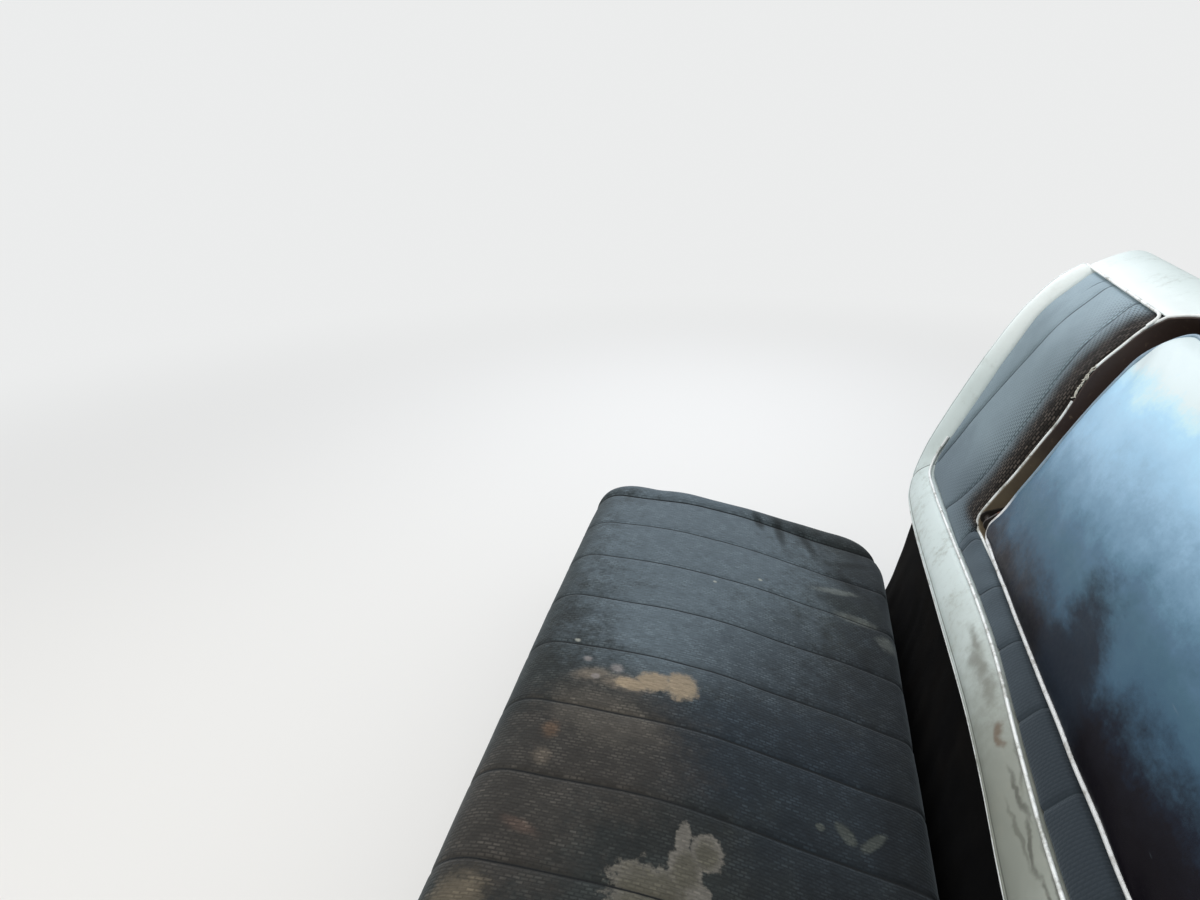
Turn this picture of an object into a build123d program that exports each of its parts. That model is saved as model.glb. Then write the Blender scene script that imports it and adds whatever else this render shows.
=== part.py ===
"""Rear bench seat of a 1950s saloon car, with a fold-down centre armrest. Millimetres.

X runs across the car and +X is the car's left. The seat faces -Y and +Z is up.
The origin lies on the seat pan, midway between the two floor bolts of the backrest.
The backrest is drawn in its own leaning frame: x across, s up the slope from the
foot of the white border, w outwards from the plane of its front cloth.
"""
import os
from math import atan, atan2, cos, degrees, hypot, radians, sin, tan

from build123d import *

os.makedirs("parts", exist_ok=True)

# Cushion frame: a pressed rail of Z section, lower at the back
FRAME_HALF_WIDTH = 668.0
FRAME_DEPTH = 493.0
FRAME_FRONT_RADIUS = 46.0
FRAME_REAR_RADIUS = 116.0
FRONT_RAIL_HEIGHT = 120.0
REAR_RAIL_HEIGHT = 72.0
RAIL_SHEET = 2.0
FOOT_FLANGE = 16.0
SPRING_FLANGE = 18.0
CORNER_TO_WELD = 26.0
CROSS_RAIL_COUNT = 3
CROSS_RAIL_WIDTH = 34.0
CROSS_RAIL_HEIGHT = 15.0
CUSHION_TO_BOLTS = 125.0

# Cushion upholstery
FACING = 10.0
PAD_OVERHANG = 12.0
PAD_FRONT_OVERHANG = 3.5
CUSHION_FRONT_TOP = 254.0
CUSHION_CROWN = 240.0
CUSHION_CROWN_AT = 237.0
CUSHION_CROWN_RADIUS = 800.0
CUSHION_REAR_TOP = 151.0
CUSHION_ROLL_RADIUS = 58.0
CUSHION_REAR_RADIUS = 26.0
CUSHION_LIP = 16.0
CUSHION_LIP_RADIUS = 6.0

# Springs and hessian, on the cushion and on the back
SPRING_WIRE = 4.0
SPRING_WIDTH = 62.0
SPRING_BAR_PITCH = 48.0
SPRING_CORNER = 13.0
SPRING_SEAT = 6.0
SPRING_SIDE_GAP = 18.0
HESSIAN = 2.0
EDGE_STRIP = 92.0
CUSHION_STRIPS = 10
BACK_STRIPS = 3

# Backrest
LEAN = 25.0
BACK_FOOT_HEIGHT = 272.0
BOLT_TO_LEG = 34.0
BACK_PAD_DEPTH = 90.0
BACK_TOP = 468.0
TOP_SET_BACK = 30.0
TOP_BEND = 90.0
TOP_BEND_RADIUS = 160.0
BACK_HALF_WIDEST = 718.0
FOOT_TAPER = 26.0
TOP_TAPER = 12.0
WIDEST_AT = 300.0
WIDEST_RADIUS = 260.0
FOOT_CORNER_RADIUS = 56.0
BORDER_FOOT = 60.0
BORDER_SIDE = 32.0
BORDER_SEAM_INSET = 90.0
BORDER_EDGE_RADIUS = 10.0
STRIP_SET_BACK = 8.0
STRIP_ROLL_RADIUS = 16.0
ROLL_RISE = 60.0
ROLL_DEPTH = 58.0
ROLL_CREST_DEPTH = 24.0
ROLL_CREST_DROP = 8.0
ROLL_REAR_DEPTH = 30.0
ROLL_FRONT_RADIUS = 12.0
ROLL_REAR_RADIUS = 10.0
HESSIAN_INSET = 8.0

# Back frame: bent tube, with flat plates on the seat pan
TUBE_RADIUS = 8.0
BOTTOM_RAIL_AT = 15.0
RAIL_KNEE = -6.0
LEG_BEND_RADIUS = 60.0
POST_OFFSET = 366.0
PLATE = 3.0
LEG_PLATE_WIDTH = 44.0
LEG_PLATE_TAIL = 18.0
FLOOR_PLATE_WIDTH = 40.0
BOLT_HALF_SPACING = 450.0
BOLT_HOLE_RADIUS = 4.5
BOLT_TO_EDGE = 20.0
TONGUE_LAP = 5.0
TONGUE_GAP = 1.0
SKIRT_WIRE_RADIUS = 4.0
SKIRT_SHEET = 3.0
SKIRT_TO_FLANGE = 7.0
SKIRT_INSET = 50.0
HANGER_OFFSET = 300.0
HANGER_WIDTH = 24.0
HANGER_REACH = 16.0
HANGER_DROP = 18.0
HANGER_RISE = 2.0

# Recess and armrest
OPENING_HALF_WIDTH = 376.0
OPENING_FOOT = 97.0
OPENING_ABOVE_SEAM = 22.0
OPENING_FOOT_RADIUS = 8.0
OPENING_TOP_RADIUS = 64.0
RECESS_BOARD = 11.0
LINING = 3.0
LINING_INSET = 2.0
ARM_SIDE_GAP = 26.0
ARM_FOOT_GAP = 7.0
ARM_TOP_GAP = 20.0
ARM_BACK_GAP = 6.0
ARM_EDGE_PROUD = 2.0
ARM_TOP_SET_BACK = 10.0
ARM_CROWN = 12.0
ARM_CROWN_RADIUS = 1100.0
ARM_ROLL_RADIUS = 14.0
ARM_TOP_ROLL_RADIUS = 34.0
ARM_BACK_FOOT_RADIUS = 14.0
ARM_BACK_TOP_RADIUS = 20.0
ARM_TOP_CORNER_RADIUS = 66.0
ARM_FOOT_CORNER_RADIUS = 10.0
HINGE_PIN_RADIUS = 5.0
HINGE_RUNNING = 0.05
HINGE_PLATE = 3.0
HINGE_EYE_RADIUS = 10.0
STRAP_RISE = 62.0
STRAP_DEPTH = 28.0
BRACKET_RISE = 34.0
BRACKET_DEPTH = 34.0
ARM_END_GAP = 0.3

# Worked out from the driving sizes
FRAME_REAR = -CUSHION_TO_BOLTS
FRAME_FRONT = FRAME_REAR - FRAME_DEPTH
SLOPE = (REAR_RAIL_HEIGHT - FRONT_RAIL_HEIGHT) / FRAME_DEPTH
CORNER_SPLIT = FRAME_HALF_WIDTH - FRAME_REAR_RADIUS - CORNER_TO_WELD
STRIP_PITCH = 2 * (FRAME_HALF_WIDTH - EDGE_STRIP) / (CUSHION_STRIPS - 1)
CROSS_RAIL_PITCH = 2 * FRAME_HALF_WIDTH / (CROSS_RAIL_COUNT + 1)
SEAT_UNDER = SPRING_WIRE + HESSIAN
BACK_HALF_FOOT = BACK_HALF_WIDEST - FOOT_TAPER
BACK_HALF_TOP = BACK_HALF_WIDEST - TOP_TAPER
SKIRT_HALF_WIDTH = BACK_HALF_FOOT - SKIRT_INSET
BORDER_SPLIT = BACK_HALF_FOOT - BORDER_SEAM_INSET
SIDE_RAIL_DEPTH = BACK_PAD_DEPTH + HESSIAN + TUBE_RADIUS
CROSS_TUBE_DEPTH = SIDE_RAIL_DEPTH + SPRING_WIRE
BACK_FRONT_Y = BOLT_TO_LEG - SIDE_RAIL_DEPTH * cos(radians(LEAN))
SPRING_REAR = BACK_PAD_DEPTH + HESSIAN + SPRING_WIRE
RECESS_DEPTH = SPRING_REAR - RECESS_BOARD
OPENING_TOP = BACK_TOP + OPENING_ABOVE_SEAM
ARM_HALF_WIDTH = OPENING_HALF_WIDTH - ARM_SIDE_GAP
ARM_FOOT = OPENING_FOOT + ARM_FOOT_GAP
ARM_TOP = OPENING_TOP - ARM_TOP_GAP
HINGE_S = ARM_FOOT + ARM_ROLL_RADIUS
HINGE_W = ARM_EDGE_PROUD - ARM_ROLL_RADIUS
FAR = FRAME_HALF_WIDTH + BACK_HALF_WIDEST  # reach of a cutting shape, past every piece

BACK = Plane(
    origin=(0, BACK_FRONT_Y, BACK_FOOT_HEIGHT),
    x_dir=(1, 0, 0),
    z_dir=(0, -cos(radians(LEAN)), sin(radians(LEAN))),
)


def rounded(corners):
    """Face from corner rows (x, y, radius)."""
    points = [(x, y) for x, y, radius in corners]
    radii = [radius for x, y, radius in corners]
    return make_face(FilletPolyline(*points, radius=radii, close=True))


def across(corners, low, high):
    """Solid between two x planes, from corner rows (y, z, radius) of its side view."""
    face = Plane.YZ * rounded(corners)
    return extrude(Pos(low, 0, 0) * face, amount=high - low, dir=(1, 0, 0))


def upright(face, low, high):
    """Solid between two heights over a plan face."""
    return extrude(Pos(0, 0, low) * face, amount=high - low, dir=(0, 0, 1))


def mirrored(shape):
    return mirror(shape, about=Plane.YZ)


def on_back(shape):
    return BACK.location * shape


def save(node, *solids):
    shape = solids[0] if len(solids) == 1 else Compound(children=list(solids))
    export_step(shape, f"parts/{node}.step")


def save_pair(name, left):
    save(f"{name}_left", left)
    save(f"{name}_right", mirrored(left))


def rail_top(y, rise=0.0):
    """Height of the slanting spring plane at y, raised square to the slant by rise."""
    return FRONT_RAIL_HEIGHT + SLOPE * (y - FRAME_FRONT) + rise * hypot(1, SLOPE)


def slab(low_rise, high_rise):
    """Slanting layer over the rails, between two rises above their top edge."""
    return across(
        [
            (-FAR, rail_top(-FAR, low_rise), 0),
            (FAR, rail_top(FAR, low_rise), 0),
            (FAR, rail_top(FAR, high_rise), 0),
            (-FAR, rail_top(-FAR, high_rise), 0),
        ],
        -FAR,
        FAR,
    )


def seat_plan(grow=0.0, front_grow=None):
    """Plan of the cushion frame, grown outwards all round, or by another amount at the front."""
    half = FRAME_HALF_WIDTH + grow
    front = FRAME_FRONT - (grow if front_grow is None else front_grow)
    rear = FRAME_REAR + grow
    front_radius = FRAME_FRONT_RADIUS + grow
    rear_radius = FRAME_REAR_RADIUS + grow
    return rounded(
        [
            (-half, front, front_radius),
            (half, front, front_radius),
            (half, rear, rear_radius),
            (-half, rear, rear_radius),
        ]
    )


def ring(outer, inner, low, high):
    return upright(seat_plan(outer), low, high) - upright(seat_plan(inner), low, high)


def save_quarters(name, solid):
    """Split a ring round the cushion into front, rear, left and right pieces."""
    middle = (FRAME_FRONT + FRAME_REAR) / 2
    front = Pos(0, middle - FAR / 2, 0) * Box(2 * CORNER_SPLIT, FAR, FAR)
    rear = Pos(0, middle + FAR / 2, 0) * Box(2 * CORNER_SPLIT, FAR, FAR)
    left = Pos(CORNER_SPLIT + FAR / 2, middle, 0) * Box(FAR, 2 * FAR, FAR)
    save(f"{name}_front", solid & front)
    save(f"{name}_rear", solid & rear)
    save_pair(name, solid & left)


def ribbon(points, half):
    """Closed outline of a mitred band that runs half to each side of a line of points."""
    left, right = [], []
    for number, (x, y) in enumerate(points):
        before = points[max(number - 1, 0)]
        after = points[min(number + 1, len(points) - 1)]
        if number == 0:
            before = (2 * x - after[0], 2 * y - after[1])
        if number == len(points) - 1:
            after = (2 * x - before[0], 2 * y - before[1])
        a_in = atan2(y - before[1], x - before[0])
        a_out = atan2(after[1] - y, after[0] - x)
        turn = atan2(sin(a_out - a_in), cos(a_out - a_in))
        reach = half / cos(turn / 2)
        side = a_in + turn / 2 + radians(90)
        left.append((x + reach * cos(side), y + reach * sin(side)))
        right.append((x - reach * cos(side), y - reach * sin(side)))
    return left + right[::-1]


def sinuous(length):
    """Flat zigzag spring along +Y from the origin, of square wire with cut corners."""
    bars = int(length // SPRING_BAR_PITCH) + 1
    pitch = (length - SPRING_WIRE) / (bars - 1)
    half = SPRING_WIDTH / 2 - SPRING_WIRE / 2
    points = [(-half + SPRING_CORNER, SPRING_WIRE / 2)]
    for bar in range(bars - 1):
        side = 1 if bar % 2 == 0 else -1
        y = SPRING_WIRE / 2 + bar * pitch
        points += [
            (side * (half - SPRING_CORNER), y),
            (side * half, y + SPRING_CORNER),
            (side * half, y + pitch - SPRING_CORNER),
            (side * (half - SPRING_CORNER), y + pitch),
        ]
    last = 1 if bars % 2 == 0 else -1
    points.append((-last * (half - SPRING_CORNER), SPRING_WIRE / 2 + (bars - 1) * pitch))
    outline = ribbon(points, SPRING_WIRE / 2)
    return extrude(make_face(Polyline(*outline, close=True)), amount=SPRING_WIRE, dir=(0, 0, 1))


# Cushion frame, split where its rails are welded
web = ring(0, -RAIL_SHEET, 0, FRONT_RAIL_HEIGHT) & slab(-FAR, 0)
foot_flange = ring(FOOT_FLANGE, 0, 0, RAIL_SHEET)
spring_flange = ring(-RAIL_SHEET, -SPRING_FLANGE, 0, FRONT_RAIL_HEIGHT) & slab(-RAIL_SHEET, 0)
save_quarters("cushion_rail", web + foot_flange + spring_flange)

cross_rails = []
for number in range(CROSS_RAIL_COUNT):
    x = (number - (CROSS_RAIL_COUNT - 1) / 2) * CROSS_RAIL_PITCH
    bar = Box(
        CROSS_RAIL_WIDTH,
        FRAME_DEPTH - 2 * RAIL_SHEET,
        CROSS_RAIL_HEIGHT,
        align=(Align.CENTER, Align.MIN, Align.MIN),
    )
    hollow = Box(
        CROSS_RAIL_WIDTH - 2 * RAIL_SHEET,
        FRAME_DEPTH - 2 * RAIL_SHEET,
        CROSS_RAIL_HEIGHT - RAIL_SHEET,
        align=(Align.CENTER, Align.MIN, Align.MIN),
    )
    cross_rails.append(Pos(x, FRAME_FRONT + RAIL_SHEET, 0) * (bar - hollow))
save("cushion_cross_rails", *cross_rails)

# Sinuous springs run front to back, with their ends on the rails' upper flanges
run = hypot(FRAME_DEPTH, FRONT_RAIL_HEIGHT - REAR_RAIL_HEIGHT)
strip_inset = SPRING_FLANGE - SPRING_SEAT
strip = Rot(degrees(atan(SLOPE)), 0, 0) * sinuous(run - 2 * strip_inset)
strip_start = FRAME_FRONT + strip_inset
strips = []
for number in range(CUSHION_STRIPS):
    x = (number - (CUSHION_STRIPS - 1) / 2) * STRIP_PITCH
    strips.append(Pos(x, strip_start, rail_top(strip_start)) * strip)
save("cushion_springs", *strips)

hessian = upright(seat_plan(), 0, FAR) & slab(SPRING_WIRE, SEAT_UNDER)
save("cushion_hessian", hessian)

facing = ring(FACING, 0, RAIL_SHEET, FAR) & slab(-FAR, SEAT_UNDER)
save_quarters("cushion_facing", facing)

# Cushion pad: a rolled front edge, a crowned top that falls to the rear and cut-back corners
pad_grow = FACING + PAD_OVERHANG
pad_front_grow = FACING + PAD_FRONT_OVERHANG
pad_front = FRAME_FRONT - pad_front_grow
pad_rear = FRAME_REAR + pad_grow
pad_profile = [
    (FRAME_FRONT - FACING, rail_top(FRAME_FRONT - FACING, SEAT_UNDER), 0),
    (FRAME_REAR + FACING, rail_top(FRAME_REAR + FACING, SEAT_UNDER), 0),
    (pad_rear, rail_top(FRAME_REAR, SEAT_UNDER) + CUSHION_LIP, CUSHION_LIP_RADIUS),
    (pad_rear, CUSHION_REAR_TOP, CUSHION_REAR_RADIUS),
    (pad_front + CUSHION_CROWN_AT, CUSHION_CROWN, CUSHION_CROWN_RADIUS),
    (pad_front, CUSHION_FRONT_TOP, CUSHION_ROLL_RADIUS),
    (pad_front, rail_top(FRAME_FRONT, SEAT_UNDER) + CUSHION_LIP, CUSHION_LIP_RADIUS),
]
pad_half = FRAME_HALF_WIDTH + pad_grow
pad = across(pad_profile, -pad_half, pad_half) & upright(seat_plan(pad_grow, pad_front_grow), 0, FAR)
save("cushion_pad", pad)

# Backrest outlines in (x, s)
border_inner_foot = BACK_HALF_FOOT - BORDER_SIDE
inner_widest = BACK_HALF_WIDEST - BORDER_SIDE
inner_top = BACK_HALF_TOP - BORDER_SIDE
inner_radius = WIDEST_RADIUS - BORDER_SIDE


def opening(grow=0.0):
    half = OPENING_HALF_WIDTH + grow
    foot_radius = OPENING_FOOT_RADIUS + grow
    top_radius = OPENING_TOP_RADIUS + grow
    return rounded(
        [
            (-half, OPENING_FOOT - grow, foot_radius),
            (half, OPENING_FOOT - grow, foot_radius),
            (half, OPENING_TOP + grow, top_radius),
            (-half, OPENING_TOP + grow, top_radius),
        ]
    )


def back_section(inset=0.0, rear=CROSS_TUBE_DEPTH):
    """Whole upholstered section of the back, all x, with its front set back by inset."""
    top = BACK_TOP + ROLL_RISE
    return across(
        [
            (0, -rear, 0),
            (0, -inset, 0),
            (BACK_TOP - TOP_BEND, -inset, TOP_BEND_RADIUS),
            (BACK_TOP, -inset - TOP_SET_BACK, 0),
            (top, -inset - TOP_SET_BACK - ROLL_DEPTH, 0),
            (top, -rear - ROLL_REAR_DEPTH, 0),
        ],
        -BACK_HALF_WIDEST,
        BACK_HALF_WIDEST,
    )


recess_block = upright(opening(LINING), -FAR, FAR)
back_solid = back_section()

# Cloth pads each side of the recess, and the strip below it
strip_half = OPENING_HALF_WIDTH - OPENING_FOOT_RADIUS
side_face = rounded(
    [
        (strip_half, BORDER_FOOT, 0),
        (border_inner_foot, BORDER_FOOT, 0),
        (inner_widest, WIDEST_AT, inner_radius),
        (inner_top, BACK_TOP, 0),
        (strip_half, BACK_TOP, 0),
    ]
)
side_pad = (upright(side_face, -BACK_PAD_DEPTH, FAR) & back_solid) - recess_block
save_pair("back_pad", on_back(side_pad))

strip_top = OPENING_FOOT - LINING
foot_strip = across(
    [
        (BORDER_FOOT, -BACK_PAD_DEPTH, 0),
        (BORDER_FOOT, -STRIP_SET_BACK, 0),
        (strip_top, -STRIP_SET_BACK, STRIP_ROLL_RADIUS),
        (strip_top, -BACK_PAD_DEPTH, 0),
    ],
    -strip_half,
    strip_half,
)
save("back_pad_foot", on_back(foot_strip))

# White vinyl border, down both sides and along the foot
side_border_face = rounded(
    [
        (BORDER_SPLIT, 0, 0),
        (BACK_HALF_FOOT, 0, FOOT_CORNER_RADIUS),
        (BACK_HALF_WIDEST, WIDEST_AT, WIDEST_RADIUS),
        (BACK_HALF_TOP, BACK_TOP, 0),
        (inner_top, BACK_TOP, 0),
        (inner_widest, WIDEST_AT, inner_radius),
        (border_inner_foot, BORDER_FOOT, 0),
        (BORDER_SPLIT, BORDER_FOOT, 0),
    ]
)
side_border = upright(side_border_face, -BACK_PAD_DEPTH, FAR) & back_solid
save_pair("back_border", on_back(side_border))
foot_border = across(
    [
        (0, -BACK_PAD_DEPTH, 0),
        (0, 0, BORDER_EDGE_RADIUS),
        (BORDER_FOOT, 0, 0),
        (BORDER_FOOT, -BACK_PAD_DEPTH, 0),
    ],
    -BORDER_SPLIT,
    BORDER_SPLIT,
)
save("back_border_foot", on_back(foot_border))

# White vinyl roll along the top, cut out over the recess
roll_top = BACK_TOP + ROLL_RISE
roll = across(
    [
        (BACK_TOP, -TOP_SET_BACK, 0),
        (roll_top, -TOP_SET_BACK - ROLL_DEPTH, ROLL_FRONT_RADIUS),
        (roll_top - ROLL_CREST_DROP, -TOP_SET_BACK - ROLL_DEPTH - ROLL_CREST_DEPTH, ROLL_REAR_RADIUS),
        (BACK_TOP, -TOP_SET_BACK - ROLL_DEPTH - ROLL_REAR_DEPTH, 0),
    ],
    -BACK_HALF_TOP,
    BACK_HALF_TOP,
)
save("back_top_roll", on_back(roll - recess_block))

# Recess: a board across the posts, an apron below it and a lining round its walls
save("recess_board", on_back(upright(opening(LINING), -SPRING_REAR, -RECESS_DEPTH)))
apron_face = rounded(
    [
        (-OPENING_HALF_WIDTH - LINING, HESSIAN, 0),
        (OPENING_HALF_WIDTH + LINING, HESSIAN, 0),
        (OPENING_HALF_WIDTH + LINING, strip_top, 0),
        (-OPENING_HALF_WIDTH - LINING, strip_top, 0),
    ]
)
save("back_apron", on_back(upright(apron_face, -SPRING_REAR, -BACK_PAD_DEPTH)))
lining = upright(opening(LINING), -RECESS_DEPTH, 0) - upright(opening(), -RECESS_DEPTH, 0)
lining = lining & back_section(LINING_INSET)
foot_relief = Pos(0, OPENING_FOOT, 0) * Box(
    2 * OPENING_HALF_WIDTH - 2 * OPENING_FOOT_RADIUS, 4 * LINING, 2 * ARM_ROLL_RADIUS
)
save("recess_lining", on_back(lining - foot_relief))

# Hessian behind the side pads
hessian_face = rounded(
    [
        (OPENING_HALF_WIDTH + LINING, HESSIAN, 0),
        (BACK_HALF_FOOT - HESSIAN_INSET, HESSIAN, FOOT_CORNER_RADIUS),
        (BACK_HALF_WIDEST - HESSIAN_INSET, WIDEST_AT, 0),
        (BACK_HALF_TOP - HESSIAN_INSET, BACK_TOP - HESSIAN, 0),
        (OPENING_HALF_WIDTH + LINING, BACK_TOP - HESSIAN, 0),
    ]
)
back_hessian = upright(hessian_face, -BACK_PAD_DEPTH - HESSIAN, -BACK_PAD_DEPTH)
save_pair("back_hessian", on_back(back_hessian))

# Back frame tubes. A rail's rows are (x, s) on the slope; below its knee a leg stands on the pan.
rail_rows = [
    (BACK_HALF_FOOT - BORDER_SIDE / 2, RAIL_KNEE),
    (BACK_HALF_WIDEST - BORDER_SIDE / 2, WIDEST_AT),
    (BACK_HALF_TOP - BORDER_SIDE / 2, BACK_TOP - HESSIAN),
]


def tube(points, radius, bends):
    path = FilletPolyline(*points, radius=bends)
    start = Plane(origin=path @ 0, z_dir=path % 0)
    return sweep(start * Circle(radius), path=path)


slope_points = [BACK.from_local_coords((x, s, -SIDE_RAIL_DEPTH)) for x, s in rail_rows]
leg_foot = Vector(slope_points[0].X, slope_points[0].Y, PLATE)
side_rail = tube([leg_foot] + slope_points, TUBE_RADIUS, [LEG_BEND_RADIUS, LEG_BEND_RADIUS])
save_pair("back_side_rail", side_rail)
both_side_rails = side_rail + mirrored(side_rail)


def cross_tube(s, half):
    bar = Rot(0, 90, 0) * Cylinder(TUBE_RADIUS, 2 * half)
    return on_back(Pos(0, s, -CROSS_TUBE_DEPTH) * bar)


top_rail_at = BACK_TOP - TUBE_RADIUS
top_rail = cross_tube(top_rail_at, BACK_HALF_TOP - BORDER_SIDE / 2) - both_side_rails
bottom_rail = cross_tube(BOTTOM_RAIL_AT, BACK_HALF_FOOT - BORDER_SIDE / 2) - both_side_rails


def longest(shape):
    """The largest solid of a cut tube, without the stubs past the rails."""
    return max(shape.solids(), key=lambda solid: solid.volume)


top_rail = longest(top_rail)
bottom_rail = longest(bottom_rail)
save("back_top_rail", top_rail)
save("back_bottom_rail", bottom_rail)

post_length = top_rail_at - BOTTOM_RAIL_AT
post = Rot(90, 0, 0) * Cylinder(TUBE_RADIUS, post_length)
post = on_back(Pos(POST_OFFSET, BOTTOM_RAIL_AT + post_length / 2, -CROSS_TUBE_DEPTH) * post)
save_pair("back_post", longest(post - top_rail - bottom_rail))

# Back springs, three strips a side between the bottom and the top rail
back_strip = Pos(0, BOTTOM_RAIL_AT, -SPRING_REAR) * sinuous(post_length)
strip_room = SPRING_SIDE_GAP + SPRING_WIDTH / 2
first_strip = OPENING_HALF_WIDTH + LINING + strip_room
last_strip = BACK_HALF_FOOT - BORDER_SIDE / 2 - TUBE_RADIUS - strip_room
strip_gap = (last_strip - first_strip) / (BACK_STRIPS - 1)
left_strips = [on_back(Pos(first_strip + k * strip_gap, 0, 0) * back_strip) for k in range(BACK_STRIPS)]
save("back_springs_left", *left_strips)
save("back_springs_right", *[mirrored(solid) for solid in left_strips])

# Feet, floor plates with the bolt holes, and the tongues that hold the cushion rail
flange_edge = FRAME_REAR + FOOT_FLANGE
wire_y = flange_edge + SKIRT_TO_FLANGE + SKIRT_WIRE_RADIUS
leg_plate_front = wire_y - 2 * SKIRT_WIRE_RADIUS
leg_plate = Pos(leg_foot.X, leg_plate_front, 0) * Box(
    LEG_PLATE_WIDTH,
    leg_foot.Y + LEG_PLATE_TAIL - leg_plate_front,
    PLATE,
    align=(Align.CENTER, Align.MIN, Align.MIN),
)
save_pair("back_foot", leg_plate)

joggle = flange_edge + TONGUE_GAP
floor_plate = across(
    [
        (flange_edge - TONGUE_LAP, RAIL_SHEET, 0),
        (joggle, RAIL_SHEET, 0),
        (joggle, 0, 0),
        (BOLT_TO_EDGE, 0, 0),
        (BOLT_TO_EDGE, PLATE, 0),
        (joggle + PLATE + RAIL_SHEET, PLATE, 0),
        (joggle + PLATE, PLATE + RAIL_SHEET, 0),
        (flange_edge - TONGUE_LAP, PLATE + RAIL_SHEET, 0),
    ],
    BOLT_HALF_SPACING - FLOOR_PLATE_WIDTH / 2,
    BOLT_HALF_SPACING + FLOOR_PLATE_WIDTH / 2,
)
bolt_hole = Pos(BOLT_HALF_SPACING, 0, PLATE / 2) * Cylinder(BOLT_HOLE_RADIUS, 4 * PLATE)
save_pair("floor_plate", floor_plate - bolt_hole)

# Skirt behind the cushion, stretched from under the border down to a wire on the plates
wire_z = PLATE + SKIRT_WIRE_RADIUS
wire_half = leg_foot.X + LEG_PLATE_WIDTH / 2
skirt_wire = Pos(0, wire_y, wire_z) * (Rot(0, 90, 0) * Cylinder(SKIRT_WIRE_RADIUS, 2 * wire_half))
save("skirt_wire", skirt_wire)


def border_under(y):
    """Height of the border's underside, which is square to the slope."""
    return BACK_FOOT_HEIGHT - (y - BACK_FRONT_Y) * tan(radians(LEAN))


hem_y = BACK_FRONT_Y + (BORDER_EDGE_RADIUS + SKIRT_SHEET) * cos(radians(LEAN))
skirt = across(
    [
        (wire_y - SKIRT_SHEET / 2, wire_z + SKIRT_WIRE_RADIUS, 0),
        (wire_y + SKIRT_SHEET / 2, wire_z + SKIRT_WIRE_RADIUS, 0),
        (hem_y + SKIRT_SHEET / 2, border_under(hem_y + SKIRT_SHEET / 2), 0),
        (hem_y - SKIRT_SHEET / 2, border_under(hem_y - SKIRT_SHEET / 2), 0),
    ],
    -SKIRT_HALF_WIDTH,
    SKIRT_HALF_WIDTH,
)
save("back_skirt", skirt)

# Hanger hooks on the top rail, for the slots of the parcel shelf
hook_front = -CROSS_TUBE_DEPTH - TUBE_RADIUS
hook_rear = hook_front - HANGER_REACH
hook_top = top_rail_at + HANGER_RISE
hook_foot = top_rail_at - HANGER_DROP
hanger = across(
    [
        (hook_foot, hook_front - PLATE, 0),
        (hook_foot, hook_front, 0),
        (hook_top, hook_front, 0),
        (hook_top, hook_rear, 0),
        (hook_foot, hook_rear, 0),
        (hook_foot, hook_rear + PLATE, 0),
        (hook_top - PLATE, hook_rear + PLATE, 0),
        (hook_top - PLATE, hook_front - PLATE, 0),
    ],
    HANGER_OFFSET - HANGER_WIDTH / 2,
    HANGER_OFFSET + HANGER_WIDTH / 2,
)
save_pair("back_hanger", on_back(hanger))

# Armrest: a crowned pad that turns on two pins beside its front lower roll
arm_back = -RECESS_DEPTH + ARM_BACK_GAP
arm_middle = (ARM_FOOT + ARM_TOP) / 2
arm_section = across(
    [
        (ARM_FOOT, arm_back, ARM_BACK_FOOT_RADIUS),
        (ARM_FOOT, ARM_EDGE_PROUD, ARM_ROLL_RADIUS),
        (arm_middle, ARM_EDGE_PROUD + ARM_CROWN, ARM_CROWN_RADIUS),
        (ARM_TOP, -ARM_TOP_SET_BACK, ARM_TOP_ROLL_RADIUS),
        (ARM_TOP, arm_back, ARM_BACK_TOP_RADIUS),
    ],
    -ARM_HALF_WIDTH,
    ARM_HALF_WIDTH,
)
arm_outline = rounded(
    [
        (-ARM_HALF_WIDTH, ARM_FOOT, ARM_FOOT_CORNER_RADIUS),
        (ARM_HALF_WIDTH, ARM_FOOT, ARM_FOOT_CORNER_RADIUS),
        (ARM_HALF_WIDTH, ARM_TOP, ARM_TOP_CORNER_RADIUS),
        (-ARM_HALF_WIDTH, ARM_TOP, ARM_TOP_CORNER_RADIUS),
    ]
)
save("armrest_pad", on_back(arm_section & upright(arm_outline, -FAR, FAR)))


def strap(rise, depth, low, high):
    """Plate with a round eye at the hinge and a rounded end, between two x planes."""
    end_s, end_w = HINGE_S + rise, HINGE_W - depth
    eye = Pos(HINGE_S, HINGE_W) * Circle(HINGE_EYE_RADIUS)
    end = Pos(end_s, end_w) * Circle(HINGE_EYE_RADIUS)
    angle = degrees(atan2(-depth, rise))
    bar = Pos((HINGE_S + end_s) / 2, (HINGE_W + end_w) / 2) * (
        Rot(0, 0, angle) * Rectangle(hypot(rise, depth), 2 * HINGE_EYE_RADIUS)
    )
    face = Plane.YZ * (eye + end + bar)
    return extrude(Pos(low, 0, 0) * face, amount=high - low, dir=(1, 0, 0))


def pin(radius, low, high):
    bar = Rot(0, 90, 0) * Cylinder(radius, high - low)
    return Pos((low + high) / 2, HINGE_S, HINGE_W) * bar


plate_out = ARM_HALF_WIDTH + HINGE_PLATE
bracket_in = OPENING_HALF_WIDTH - HINGE_PLATE
pin_end = OPENING_HALF_WIDTH - ARM_END_GAP
arm_hinge = strap(STRAP_RISE, STRAP_DEPTH, ARM_HALF_WIDTH, plate_out)
arm_hinge += pin(HINGE_PIN_RADIUS, plate_out, pin_end)
save_pair("armrest_hinge", on_back(arm_hinge))

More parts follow.
